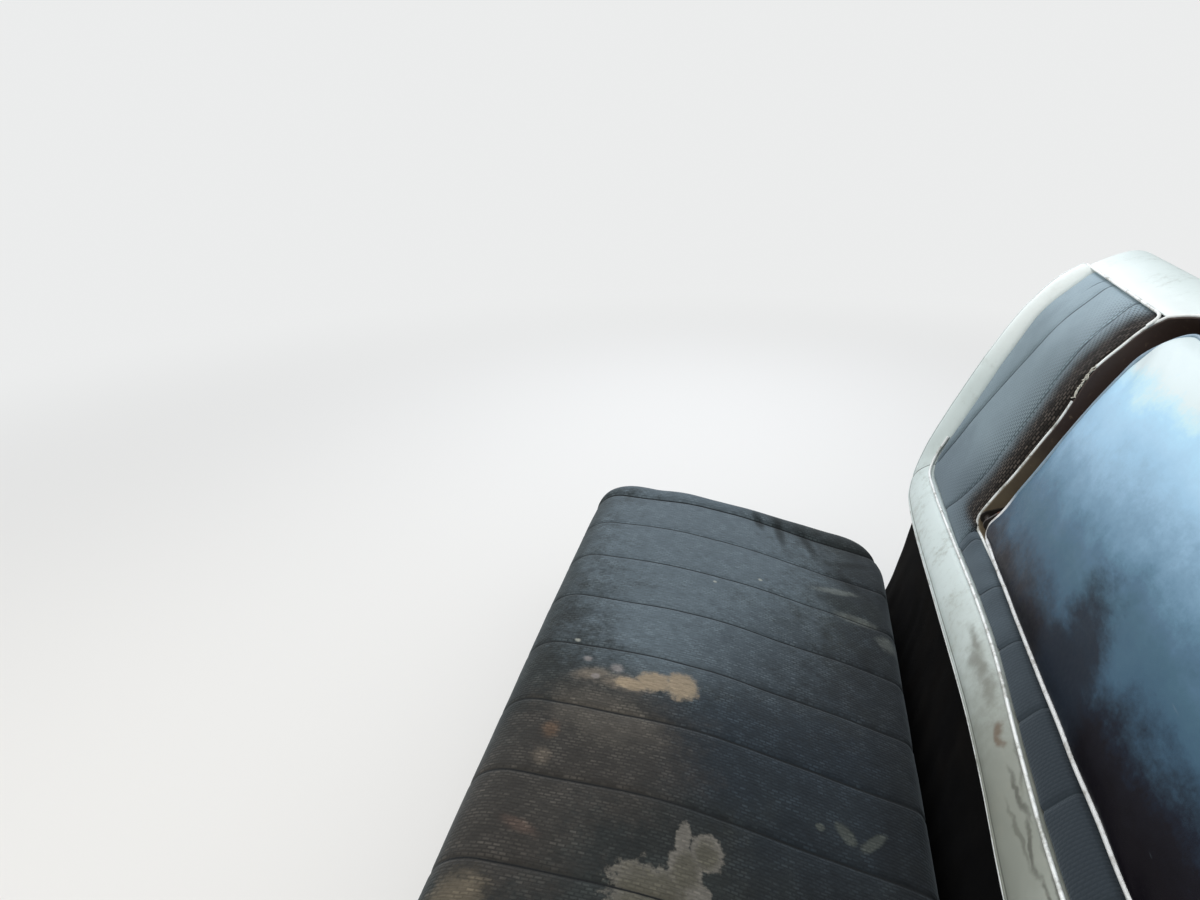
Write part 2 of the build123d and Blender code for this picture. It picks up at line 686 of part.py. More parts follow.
bracket = strap(BRACKET_RISE, BRACKET_DEPTH, bracket_in, OPENING_HALF_WIDTH)
bracket -= pin(HINGE_PIN_RADIUS + HINGE_RUNNING, ARM_HALF_WIDTH, BACK_HALF_WIDEST)
save_pair("hinge_bracket", on_back(bracket))

hinge = BACK.from_local_coords((0, HINGE_S, HINGE_W))
print(f"hinge axis through y {hinge.Y:.3f} z {hinge.Z:.3f}")
print(f"rear edge of the flange y {flange_edge:.1f}, leg y {leg_foot.Y:.2f}, wire y {wire_y:.2f}")
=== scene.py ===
# %% [markdown]
# # Dressing a rear bench seat
# A bench seat of the 1950s is a pressed steel frame with zigzag springs, a sheet of hessian over
# them, a thick pad of cotton and a sewn cover. The steel parts come ready made in the frame that is
# loaded here. This lesson adds what an upholsterer adds: covers, seams, welts, stitches and wear.

# %% Load the frame
from math import atan2, copysign, cos, exp, hypot, pi, radians, sin, sqrt, tan, tanh

import bmesh
import bpy
from mathutils import Matrix, Vector, noise


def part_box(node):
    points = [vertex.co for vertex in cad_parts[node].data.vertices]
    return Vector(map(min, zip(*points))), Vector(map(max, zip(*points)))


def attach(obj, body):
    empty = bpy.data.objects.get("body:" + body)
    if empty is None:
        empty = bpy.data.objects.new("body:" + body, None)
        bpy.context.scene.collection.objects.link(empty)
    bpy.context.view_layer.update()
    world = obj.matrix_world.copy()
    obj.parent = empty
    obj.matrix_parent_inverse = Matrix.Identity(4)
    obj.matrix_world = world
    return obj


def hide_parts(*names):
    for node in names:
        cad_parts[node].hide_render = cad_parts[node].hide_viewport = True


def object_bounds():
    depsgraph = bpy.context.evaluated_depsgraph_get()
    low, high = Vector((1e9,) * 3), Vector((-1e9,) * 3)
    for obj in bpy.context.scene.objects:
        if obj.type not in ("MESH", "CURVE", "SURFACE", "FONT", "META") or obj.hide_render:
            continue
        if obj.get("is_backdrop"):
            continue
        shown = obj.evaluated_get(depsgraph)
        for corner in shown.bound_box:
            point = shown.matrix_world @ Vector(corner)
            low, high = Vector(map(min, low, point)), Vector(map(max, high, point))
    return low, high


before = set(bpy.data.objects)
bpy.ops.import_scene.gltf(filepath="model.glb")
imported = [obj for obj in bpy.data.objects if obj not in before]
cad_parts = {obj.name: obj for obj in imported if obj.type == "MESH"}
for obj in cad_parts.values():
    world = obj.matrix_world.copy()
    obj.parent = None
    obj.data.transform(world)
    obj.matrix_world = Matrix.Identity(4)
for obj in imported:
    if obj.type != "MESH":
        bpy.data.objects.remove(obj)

MM = 0.001
cad_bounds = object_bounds()
print("box of the steel and wood:", [[round(v, 3) for v in corner] for corner in cad_bounds])

# %% [markdown]
# ## The camera
# The eye is just inside the car's left door, higher than the seat's back, and looks down across the
# bench. Where it stands was worked out from the lines that run across and along the car. The camera
# comes first, so that every later piece can be judged from the place that matters most.

# %% Place the camera
EYE = Vector((0.885, -0.322, 0.980))
LOOK = Vector((-0.902, -0.180, -0.392)).normalized()
LEVEL = Vector((-0.1955, 0.981, 0.0)).normalized()
right = (LEVEL - LOOK * LEVEL.dot(LOOK)).normalized()
up = right.cross(LOOK)
camera = bpy.data.objects.new("camera", bpy.data.cameras.new("camera"))
camera.data.lens = 27.0
camera.data.sensor_width = 36.0
camera.data.clip_start = 0.01
camera.matrix_world = Matrix.Translation(EYE) @ Matrix((right, up, -LOOK)).transposed().to_4x4()
bpy.context.scene.collection.objects.link(camera)
bpy.context.scene.camera = camera
print("camera at", tuple(round(v, 3) for v in EYE), "lens", camera.data.lens)

# %% [markdown]
# ## Node helpers
# Colours are easiest to compare as sRGB hex values, but shaders work in linear light, so one function
# converts them. Another adds any node: its settings go in a dictionary, its inputs are named, and a
# list gives several inputs that share one name. Short functions add what comes up most: sums on
# numbers and vectors, a noise, a smooth step and a mix of two colours.

# %% Colours, sizes and nodes
def tone(code):
    """Linear colour from an sRGB hex value."""
    parts = [int(code[k : k + 2], 16) / 255 for k in (0, 2, 4)]
    return tuple(p / 12.92 if p <= 0.04045 else ((p + 0.055) / 1.055) ** 2.4 for p in parts) + (1.0,)


def per(millimetres):
    """Texture scale whose features are about this long."""
    return 1000.0 / millimetres


def plug(made, name, value):
    """Sets or links the enabled inputs of that name. A list goes to several of them in turn."""
    sockets = [socket for socket in made.inputs if socket.name == name and socket.enabled]
    for socket, one in zip(sockets, value if isinstance(value, list) else [value]):
        if isinstance(one, bpy.types.Node):
            one = next(output for output in one.outputs if output.enabled)
        if isinstance(one, bpy.types.NodeSocket):
            made.id_data.links.new(one, socket)
        else:
            socket.default_value = one


def add(tree, kind, settings=None, **inputs):
    """Adds a node. An underscore in an input's name stands for a space."""
    made = tree.nodes.new(kind)
    for name, value in (settings or {}).items():
        setattr(made, name, value)
    for name, value in inputs.items():
        plug(made, name.replace("_", " "), value)
    return made


MATH, VECTOR, NOISE = "ShaderNodeMath", "ShaderNodeVectorMath", "ShaderNodeTexNoise"
MIX, RANGE, BUMP = "ShaderNodeMix", "ShaderNodeMapRange", "ShaderNodeBump"
BLEND = {"data_type": "RGBA"}
SMOOTH = {"interpolation_type": "SMOOTHSTEP"}


def maths(tree, operation, *values):
    """A Math node on one or more values."""
    return add(tree, MATH, {"operation": operation}, Value=list(values))


def lay(tree, share, under, over):
    """Lays a share of one colour over another."""
    return add(tree, MIX, BLEND, Factor=share, A=under, B=over)


def vectors(tree, operation, *values, **more):
    """A Vector Math node on one or more vectors."""
    return add(tree, VECTOR, {"operation": operation}, Vector=list(values), **more)


def noise_at(tree, place, size, detail, **more):
    """A noise whose lumps are about size millimetres long."""
    return add(tree, NOISE, Vector=place, Scale=per(size), Detail=detail, **more)


def smooth_step(tree, value, low, high, **more):
    """Rises smoothly from 0 to 1 while the value goes from low to high."""
    return add(tree, RANGE, SMOOTH, Value=value, From_Min=low, From_Max=high, **more)


def finish(name):
    """A material with its tree, its shader and the coordinates of the object it is on."""
    material = bpy.data.materials.new(name)
    material.use_nodes = True
    tree = material.node_tree
    shader = tree.nodes["Principled BSDF"]
    place = add(tree, "ShaderNodeTexCoord").outputs["Object"]
    return material, tree, shader, place


print("node helpers ready")

# %% [markdown]
# ## Patches
# A patch is a union of a few ellipses. A Mapping node of the TEXTURE type moves the point into each
# ellipse's own space, where its distance from the middle is 1 on the edge. The smallest distance
# wins, and a noise added to it frays the edge. Large patches are placed where the real seat has them.
# Most are dirt and wear; a few are painted light and painted shade.

# %% A patch mask
def field(tree, place, blots):
    """Distance field of a union of ellipses (x, y, half x, half y, turn): below 1 inside any of them."""
    nearest = None
    for x, y, long, wide, turn in blots:
        inside = add(
            tree,
            "ShaderNodeMapping",
            {"vector_type": "TEXTURE"},
            Vector=place,
            Location=(x * MM, y * MM, 0.0),
            Rotation=(0.0, 0.0, radians(turn)),
            Scale=(long * MM, wide * MM, 1000.0),
        )
        reach = vectors(tree, "LENGTH", inside)
        if nearest is not None:
            reach = maths(tree, "MINIMUM", nearest, reach)
        nearest = reach
    return nearest


def lay_patches(tree, colour, place, ragged, groups):
    """Lays groups (hex, strength, edge, softness, blots) over a colour, with edges frayed by a noise."""
    for code, strength, edge, soft, blots in groups:
        frayed = maths(tree, "ADD", field(tree, place, blots), ragged)
        limits = {"From_Min": edge + soft, "From_Max": edge - soft, "To_Max": strength}
        amount = add(tree, RANGE, SMOOTH, Value=frayed, **limits)
        colour = lay(tree, amount, colour, tone(code))
    return colour


print("stain helpers ready")

# %% [markdown]
# ## Seat cloth
# The cloth is a two-tone weave of cotton and viscose: short light floats lie in rows on a dark
# ground, and each row is shifted by half a float, as bricks are. The rows are 4.8 mm apart and the
# floats repeat every 8.6 mm. It reads the cover's own UV map, whose unit is the metre, so the weave
# follows the cloth over the roll and keeps its size. The sewn seams lie at fixed distances on the
# same map.

# %% The weave
ROW_PITCH = 4.8
FLOAT_LENGTH = 8.6
GROUND_WIDTH = 3.8
THREAD = 1.1


def weave(tree, flat):
    """Float mask of the weave, a shade of its own for each float, and a height for a bump."""
    wobble = noise_at(tree, flat, 30.0, 2.0)
    wobble = vectors(tree, "SCALE", wobble.outputs["Color"], Scale=3.0 * MM)
    bent = vectors(tree, "ADD", flat, wobble)
    axes = add(tree, "ShaderNodeSeparateXYZ", Vector=bent)
    turned = add(tree, "ShaderNodeCombineXYZ", X=axes.outputs[1], Y=axes.outputs[0])
    bricks = add(tree, "ShaderNodeTexBrick", {"offset": 0.5}, Vector=turned, Scale=per(100.0))
    plug(bricks, "Color1", (0, 0, 0, 1))
    plug(bricks, "Color2", (1, 1, 1, 1))
    plug(bricks, "Mortar", (0.5, 0.5, 0.5, 1))
    plug(bricks, "Mortar Size", GROUND_WIDTH / 200)
    plug(bricks, "Mortar Smooth", 1.0)
    plug(bricks, "Brick Width", FLOAT_LENGTH / 100)
    plug(bricks, "Row Height", ROW_PITCH / 100)
    shade = bricks.outputs["Color"]
    floats = maths(tree, "SUBTRACT", 1.0, bricks.outputs["Fac"])
    fibres = noise_at(tree, flat, THREAD, 2.0)
    height = maths(tree, "MULTIPLY_ADD", fibres, 0.5, floats)
    return floats, shade, height


SEAM_PITCH = 125.0


def seam_mask(tree, flat, half):
    """1 within half a millimetre width of each sewn seam of a cover, by its first UV coordinate."""
    across = add(tree, "ShaderNodeSeparateXYZ", Vector=flat).outputs[0]
    nearest = maths(tree, "PINGPONG", across, SEAM_PITCH * MM / 2)
    line = smooth_step(tree, nearest, 2 * half * MM, 0.4 * half * MM)
    reach = maths(tree, "ABSOLUTE", across)
    on_top = maths(tree, "LESS_THAN", reach, 5.5 * SEAM_PITCH * MM)
    return maths(tree, "MULTIPLY", line, on_top)


# Patches on the cushion: dirt and wear, and some painted light and painted shade.
CUSHION_STAINS_AND_PAINTED_LIGHT = [
    # Paler blue grey far end: painted window light, with dust.
    ("69767f", 0.88, 1.0, 0.55, [(-490, -420, 330, 230, 0), (-230, -400, 180, 170, 0)]),
    # Dark band along the far half of the rear edge: painted shade under the backrest.
    ("2b3138", 0.60, 1.0, 0.60, [(-380, -120, 420, 62, 0)]),
    ("39404a", 0.50, 1.0, 0.60, [(-130, -250, 150, 130, 0)]),
    ("2b3744", 0.60, 1.0, 0.55, [(20, -320, 100, 140, 0), (60, -210, 160, 120, 0)]),
    # Dark near rear and near half of the rear edge: painted shade under the backrest.
    ("191c1f", 0.60, 1.0, 0.50, [(330, -200, 190, 130, 0), (180, -120, 300, 50, 0)]),
    ("4d4844", 0.75, 1.0, 0.45, [(60, -490, 110, 110, 0), (170, -560, 130, 90, 0)]),
    ("6a645c", 0.50, 1.0, 0.50, [(10, -490, 45, 75, -20)]),
    # Darker front roll at the far end: painted shade on a face turned from the light.
    ("32383a", 0.85, 1.0, 0.50, [(-420, -656, 420, 50, 0)]),
    ("2c3131", 0.60, 1.0, 0.60, [(-655, -200, 40, 130, 0), (-413, -180, 22, 32, 0), (-422, -128, 30, 18, 0)]),
    ("7b807b", 0.55, 1.0, 0.50, [(-377, -160, 12, 30, 0), (-340, -112, 20, 18, 0), (-445, -190, 9, 40, 20)]),
    ("14191b", 0.75, 1.0, 0.80, [(-612, -286, 52, 8, 8), (-620, -324, 24, 7, 12), (-595, -234, 46, 8, 16)]),
    ("191e20", 0.70, 1.0, 0.80, [(-492, -164, 38, 9, 28), (-560, -160, 9, 40, 30)]),
    ("85796a", 0.60, 1.0, 0.60, [(-55, -478, 14, 36, 0), (-62, -520, 12, 22, 20)]),
    ("9c8c75", 0.90, 1.0, 0.30, [(-72, -404, 26, 20, 0), (-68, -440, 18, 22, 0), (-56, -468, 10, 22, 0)]),
    ("8d8785", 0.70, 1.0, 0.60, [(-82, -492, 8, 8, 0), (-92, -533, 5, 5, 0), (-58, -516, 5, 5, 0)]),
    ("6f5948", 0.70, 1.0, 0.60, [(53, -548, 13, 10, 0)]),
    ("6c6359", 0.70, 1.0, 0.60, [(98, -548, 12, 10, 0)]),
    ("67564e", 0.70, 1.0, 0.70, [(203, -545, 7, 20, -20)]),
    ("75716a", 0.95, 1.0, 0.14, [(252, -395, 40, 50, 0), (208, -369, 26, 20, 0), (182, -348, 25, 18, 0),
                                  (172, -376, 22, 8, 0), (236, -352, 16, 12, 0)]),
    ("5f5c50", 0.75, 0.8, 0.30, [(252, -398, 40, 46, 0), (212, -368, 26, 16, 0), (184, -348, 22, 14, 0)]),
    ("5f645f", 0.75, 1.0, 0.35, [(83, -201, 14, 8, 36), (82, -168, 22, 6, 143), (87, -229, 5, 5, 0)]),
    ("756b5b", 0.75, 1.0, 0.50, [(300, -582, 30, 28, 0)]),
    ("a9aba2", 0.80, 1.0, 0.50, [(-354, -384, 3, 3, 0), (-400, -314, 3, 3, 0), (-132, -556, 3, 4, 0)]),
]


def seat_cloth():
    """Charcoal weave, brown and threadbare where people sat; its pale blue grey far end is painted light, its
    dark rear edge painted shade.
    """
    material, tree, shader, place = finish("seat_cloth_woven_charcoal")
    flat = add(tree, "ShaderNodeTexCoord").outputs["UV"]
    floats, shade, height = weave(tree, flat)
    cloud = noise_at(tree, place, 90.0, 6.0, Roughness=0.6)
    coarse = noise_at(tree, place, 34.0, 7.0, Roughness=0.62)
    fine = noise_at(tree, place, 8.0, 5.0, Roughness=0.65)
    ragged = maths(tree, "MULTIPLY_ADD", coarse, 1.1, -1.0)
    ragged = maths(tree, "MULTIPLY_ADD", fine, 0.9, ragged)
    dust = smooth_step(tree, cloud, 0.35, 0.75)
    ground = lay(tree, dust, tone("2e3131"), tone("3f4444"))
    with_painted_light = lay_patches(tree, ground, place, ragged, CUSHION_STAINS_AND_PAINTED_LIGHT)
    lit = add(tree, MIX, {**BLEND, "blend_type": "SOFT_LIGHT"}, Factor=0.9, A=with_painted_light, B=tone("d2d2cc"))
    dark = add(tree, MIX, {**BLEND, "blend_type": "MULTIPLY"}, Factor=0.75, A=with_painted_light, B=tone("7d807c"))
    threads = noise_at(tree, flat, 28.0, 4.0, Roughness=0.6)
    show = smooth_step(tree, threads, 0.36, 0.66, To_Min=0.15, To_Max=1.0)
    own = add(tree, RANGE, Value=shade, To_Min=0.1, To_Max=1.0)
    seen = maths(tree, "MULTIPLY", floats, show)
    seen = maths(tree, "MULTIPLY", seen, own)
    pale = add(tree, RANGE, Value=with_painted_light, From_Min=0.07, From_Max=0.20, To_Min=1.0, To_Max=0.35)
    woven = lay(tree, seen, dark, lit)
    colour = lay(tree, pale, with_painted_light, woven)
    across = add(tree, "ShaderNodeMapping", Vector=flat, Scale=(per(2.4), per(16.0), 1.0))
    yarn = add(tree, NOISE, Vector=across, Scale=1.0, Detail=3.0, Roughness=0.6)
    yarn = add(tree, RANGE, Value=yarn, From_Min=0.3, From_Max=0.7, To_Min=0.72, To_Max=1.22)
    yarn = add(tree, "ShaderNodeCombineXYZ", X=yarn, Y=yarn, Z=yarn)
    colour = add(tree, MIX, {**BLEND, "blend_type": "MULTIPLY"}, Factor=1.0, A=colour, B=yarn)
    seam = seam_mask(tree, flat, 1.0)
    colour = lay(tree, seam, colour, tone("0e1011"))
    pucker = noise_at(tree, place, 14.0, 3.0)
    bump = add(tree, BUMP, Strength=0.5, Distance=0.45 * MM, Height=height)
    soft = add(tree, BUMP, Strength=0.35, Distance=1.5 * MM, Height=pucker, Normal=bump)
    plug(shader, "Base Color", colour)
    plug(shader, "Roughness", 0.88)
    plug(shader, "Specular IOR Level", 0.2)
    plug(shader, "Sheen Weight", 0.18)
    plug(shader, "Sheen Roughness", 0.4)
    plug(shader, "Sheen Tint", tone("b4c2c8"))
    plug(shader, "Normal", soft)
    return material


SEAT_CLOTH = seat_cloth()
print("material", SEAT_CLOTH.name)

# %% [markdown]
# ## Back cloth
# The backrest wears the same weave, but it is bleached to a mid grey by the light from the windows
# and dusty. Along the edge of the armrest's recess hands have left it a brown black with grease, and
# painted shade darkens it further where the pad rolls into the recess; there the weave shows as light
# dashes. The darkening follows a number stored at each point, the distance from the recess, which
# keeps it beside the edge on both sides. A painted sheen pales the top, and painted shade darkens the
# strip under the armrest towards its near end.

# %% The back cloth
def back_cloth(name, shaded, bleached, top, shade_off):
    """Weave bleached to mid grey, brown black along the recess from grease and painted shade, with a painted
    sheen at the top.
    """
    material, tree, shader, place = finish(name)
    flat = add(tree, "ShaderNodeTexCoord").outputs["UV"]
    floats, shade, height = weave(tree, flat)
    near = add(tree, "ShaderNodeAttribute", {"attribute_name": "from_recess"}).outputs["Fac"]
    cloud = noise_at(tree, place, 70.0, 5.0, Roughness=0.6)
    base = lay(tree, cloud, tone(shaded), tone(bleached))
    up = add(tree, "ShaderNodeSeparateXYZ", Vector=place).outputs[2]
    up = maths(tree, "MULTIPLY_ADD", cloud, 0.08, up)
    # A painted sheen: the cloth turns paler towards the top.
    high = smooth_step(tree, up, 0.60, 0.74, To_Max=0.7)
    base = lay(tree, high, base, tone(top))
    # Painted shade towards the near end, as strong as shade_off.
    across = add(tree, "ShaderNodeSeparateXYZ", Vector=place).outputs[0]
    painted_near_shade = smooth_step(tree, across, -0.40, 0.12, To_Max=shade_off)
    base = lay(tree, painted_near_shade, base, tone(shaded))
    low = smooth_step(tree, up, 0.50, 0.40, To_Max=0.65 - 0.65 * shade_off)
    base = lay(tree, low, base, tone("54616a"))
    # Brown black band along the recess: grease from hands, and painted shade where the pad rolls in.
    edge = maths(tree, "MULTIPLY_ADD", cloud, -0.05, near)
    rubbed_and_shaded = smooth_step(tree, edge, 0.056, -0.002)
    hole = maths(tree, "SUBTRACT", 1.0, floats)
    depth = smooth_step(tree, edge, 0.15, 0.0, To_Min=0.10, To_Max=1.0)
    dotted = maths(tree, "MULTIPLY", hole, depth)
    dark = add(tree, MIX, {**BLEND, "blend_type": "MULTIPLY"}, Factor=0.92, A=base, B=tone("3f4244"))
    cloth = lay(tree, dotted, base, dark)
    own = add(tree, RANGE, Value=shade, To_Min=0.1, To_Max=0.9)
    lit = maths(tree, "MULTIPLY", floats, own)
    grease_and_shade = lay(tree, lit, tone("080706"), tone("57504a"))
    colour = lay(tree, rubbed_and_shaded, cloth, grease_and_shade)
    seam = add(tree, "ShaderNodeAttribute", {"attribute_name": "from_seam"}).outputs["Fac"]
    line = smooth_step(tree, seam, 2.2 * MM, 0.5 * MM)
    colour = lay(tree, line, colour, tone("222a2f"))
    bump = add(tree, BUMP, Strength=0.5, Distance=0.45 * MM, Height=height)
    plug(shader, "Base Color", colour)
    matted = add(tree, RANGE, Value=rubbed_and_shaded, To_Min=0.25, To_Max=0.02)
    plug(shader, "Roughness", 0.88)
    plug(shader, "Specular IOR Level", 0.15)
    plug(shader, "Sheen Weight", matted)
    plug(shader, "Sheen Tint", tone("c3d0d8"))
    plug(shader, "Normal", bump)
    return material


BACK_CLOTH = back_cloth("back_cloth_woven_bleached", "66757c", "83949b", "a9bcc6", 0.0)
# The strip under the armrest: its darker tones and its near-end darkening are painted shade.
STRIP_CLOTH = back_cloth("strip_cloth_woven_shaded", "252c32", "616f78", "a9bcc6", 0.95)
print("materials", BACK_CLOTH.name, STRIP_CLOTH.name)

# %% [markdown]
# ## Coated cloths
# White and black leathercloth is cotton with a skin of PVC, embossed with a fine grain. A Voronoi
# pattern of about 1.6 mm cells gives the grain, drawn coarser than the real 0.8 mm so that it shows.
# The white skin has greyed and holds grime in the lows, and a band of painted shade lies along the
# roll's low edge. The black one carries a painted reflection of the window's light, pale blue and
# growing upwards, mottled by noise.

# %% White leathercloth
GRAIN = 1.6
GRIME_AND_SHADE = [
    ("949990", 0.85, 1.0, 0.60, [(310, 0, 420, 900, 0)]),
    ("6d6f64", 0.60, 1.0, 0.75, [(130, 0, 170, 900, 0), (400, 0, 60, 900, 0)]),
    # Darker band along the roll's low edge: painted shade in the crease.
    ("8f9a9a", 0.60, 1.0, 0.70, [(0, 192, 380, 12, 0)]),
    ("5d4a38", 0.80, 1.0, 0.60, [(30, -36, 9, 4, 0), (44, -38, 12, 3, 0)]),
    ("6a6b62", 0.75, 1.0, 0.80, [(-90, -38, 40, 6, 0), (-40, -36, 26, 5, 0), (-130, -36, 30, 4, 0)]),
    ("494a42", 0.80, 1.0, 0.60, [(125, -37, 34, 1.8, 4), (190, -38, 34, 1.6, -3), (265, -38, 40, 1.6, 2)]),
    ("5b5d54", 0.70, 1.0, 0.60, [(90, -31, 34, 1.8, -4), (170, -44, 40, 1.6, 3), (240, -30, 40, 2, 0)]),
]


DRIFT = (16 * MM, 16 * MM, 0.0)


def leather_grain(tree, place, strength, *, under=None):
    """Bump of an embossed grain."""
    cells = add(tree, "ShaderNodeTexVoronoi", {"feature": "DISTANCE_TO_EDGE"}, Vector=place, Scale=per(GRAIN))
    flats = smooth_step(tree, cells, 0.0, 0.25)
    bump = add(tree, BUMP, Strength=strength, Distance=0.18 * MM, Height=flats)
    if under is not None:
        plug(bump, "Normal", under)
    return bump


def white_vinyl():
    """PVC leathercloth, greyed white, with grime that a rag never reached."""
    material, tree, shader, place = finish("leathercloth_white_soiled")
    cloud = noise_at(tree, place, 120.0, 6.0, Roughness=0.6)
    fine = noise_at(tree, place, 14.0, 8.0, Roughness=0.7)
    ragged = maths(tree, "MULTIPLY_ADD", fine, 0.9, -0.45)
    white = lay(tree, cloud, tone("d6e1e0"), tone("c0cdca"))
    drift = noise_at(tree, place, 34.0, 3.0)
    drift = vectors(tree, "MULTIPLY_ADD", drift.outputs["Color"], DRIFT, place)
    soiled = lay_patches(tree, white, drift, ragged, GRIME_AND_SHADE)
    speck = maths(tree, "MULTIPLY", cloud, fine)
    speck = smooth_step(tree, speck, 0.25, 0.45, To_Max=0.5)
    colour = lay(tree, speck, soiled, tone("8b8c80"))
    lift = add(tree, "ShaderNodeSeparateXYZ", Vector=place).outputs[2]
    clean = smooth_step(tree, lift, 0.46, 0.60, To_Max=0.75)
    above = smooth_step(tree, lift, 0.68, 0.71, To_Min=1.0, To_Max=0.0)
    clean = maths(tree, "MULTIPLY", clean, above)
    colour = lay(tree, clean, colour, tone("eff6f4"))
    for name, reach, strength in (("from_seam", 1.5, 0.85), ("from_stitch", 1.3, 0.75)):
        seam = add(tree, "ShaderNodeAttribute", {"attribute_name": name}).outputs["Fac"]
        line = smooth_step(tree, seam, reach * MM, 0.3 * MM, To_Max=strength)
        colour = lay(tree, line, colour, tone("3c3f38"))
    creases = noise_at(tree, place, 30.0, 4.0, Distortion=0.8)
    folds = add(tree, BUMP, Strength=0.25, Distance=1.5 * MM, Height=creases)
    rough = add(tree, RANGE, Value=fine, From_Min=0.3, From_Max=0.7, To_Min=0.38, To_Max=0.62)
    plug(shader, "Base Color", colour)
    plug(shader, "Roughness", rough)
    plug(shader, "Specular IOR Level", 0.4)
    plug(shader, "Normal", leather_grain(tree, place, 0.35, under=folds))
    return material


WHITE_VINYL = white_vinyl()
print("material", WHITE_VINYL.name)

# %% Black leathercloth
# Painted reflection of the window's light on the armrest's face: colour by height up the back in mm.
PAINTED_REFLECTION_RAMP = [
    (110, "060309"), (140, "0f0e16"), (152, "151b27"), (165, "24323f"), (180, "33495b"), (200, "405c70"),
    (225, "466476"), (250, "506d83"), (265, "5a7b90"), (282, "698aa1"), (298, "7394ab"), (315, "80a1b9"),
    (330, "8dafc7"), (350, "97bcd5"), (370, "9fc3db"), (395, "a5cde4"), (415, "badae4"), (435, "cfdcdd"),
]
# A darker bay inside the painted reflection.
ARM_BAY = [("18202b", 0.93, 1.0, 0.5, [(52, 2, 60, 20, -14), (18, -8, 40, 14, 0)])]
PAINTED_REFLECTION_ZERO = 0.3076
FACE_FROM, FACE_TO = 0.110, 0.126
UP_THE_BACK = (-0.1, 0.4226, 0.9063)
OUT_OF_BACK = (0.0, -0.9063, 0.4226)


def painted_reflection(tree, colour, place, cloud, smear, mottle):
    """Painted reflection of the window's light, paler with the height up the leaning back, only on the face
    that looks at the passengers.
    """
    height = vectors(tree, "DOT_PRODUCT", place, UP_THE_BACK)
    height = maths(tree, "MULTIPLY_ADD", cloud, 0.085, height)
    height = maths(tree, "MULTIPLY_ADD", smear, 0.055, height)
    height = maths(tree, "MULTIPLY_ADD", mottle, 0.030, height)
    low, high = PAINTED_REFLECTION_RAMP[0][0] * MM, PAINTED_REFLECTION_RAMP[-1][0] * MM
    share = add(tree, RANGE, Value=height, From_Min=low + PAINTED_REFLECTION_ZERO, From_Max=high + PAINTED_REFLECTION_ZERO)
    ramp = add(tree, "ShaderNodeValToRGB", Fac=share)
    stops = ramp.color_ramp.elements
    stops[0].color = tone(PAINTED_REFLECTION_RAMP[0][1])
    stops[-1].color = tone(PAINTED_REFLECTION_RAMP[-1][1])
    for rise, code in PAINTED_REFLECTION_RAMP[1:-1]:
        stop = stops.new((rise * MM - low) / (high - low))
        stop.color = tone(code)
    ragged = maths(tree, "MULTIPLY_ADD", smear, 1.8, -0.9)
    pale = lay_patches(tree, ramp.outputs["Color"], place, ragged, ARM_BAY)
    out = vectors(tree, "DOT_PRODUCT", place, OUT_OF_BACK)
    front = smooth_step(tree, out, FACE_FROM, FACE_TO)
    return lay(tree, front, colour, pale)


def black_vinyl(name, dust, with_painted_reflection):
    """PVC leathercloth, black and glossy, dusty, with a painted reflection where it is asked for."""
    material, tree, shader, place = finish(name)
    cloud = noise_at(tree, place, 80.0, 6.0, Roughness=0.6)
    streak = add(tree, "ShaderNodeMapping", Vector=place, Rotation=(0.0, 0.9, 0.5), Scale=(0.6, 1.0, 1.4))
    smear = noise_at(tree, streak, 30.0, 9.0, Roughness=0.7)
    fine = noise_at(tree, place, 7.0, 6.0, Roughness=0.7)
    colour = lay(tree, fine, tone("07080b"), tone(dust))
    if with_painted_reflection:
        colour = painted_reflection(tree, colour, place, cloud, smear, fine)
    scratch = add(tree, "ShaderNodeMapping", Vector=place, Rotation=(0.3, 0.2, 0.7), Scale=(9.0, 160.0, 60.0))
    lines = add(tree, NOISE, Vector=scratch, Scale=1.0, Detail=3.0)
    lines = smooth_step(tree, lines, 0.72, 0.77, To_Max=0.25)
    colour = lay(tree, lines, colour, tone("7c8a92"))
    rough = add(tree, RANGE, Value=fine, From_Min=0.3, From_Max=0.7, To_Min=0.36, To_Max=0.52)
    waves = noise_at(tree, place, 45.0, 3.0)
    soft = add(tree, BUMP, Strength=0.25, Distance=2.0 * MM, Height=waves)
    plug(shader, "Base Color", colour)
    plug(shader, "Roughness", rough)
    plug(shader, "Specular IOR Level", 0.12)
    plug(shader, "Normal", leather_grain(tree, place, 0.22, under=soft))
    return material


BLACK_VINYL = black_vinyl("leathercloth_black_painted_reflection", "171d23", True)
FACING_VINYL = black_vinyl("leathercloth_black_dusty", "23211f", False)
print("materials", BLACK_VINYL.name, FACING_VINYL.name)

# %% [markdown]
# ## Lining, board, hessian and black cloth
# The recess is lined with coated card, tan low down and dark brown higher up.
# The board behind it is pressed fibre, speckled with short fibres. Hessian is jute in a plain open
# weave with threads of uneven thickness, and the skirt behind the cushion is thin black cotton.

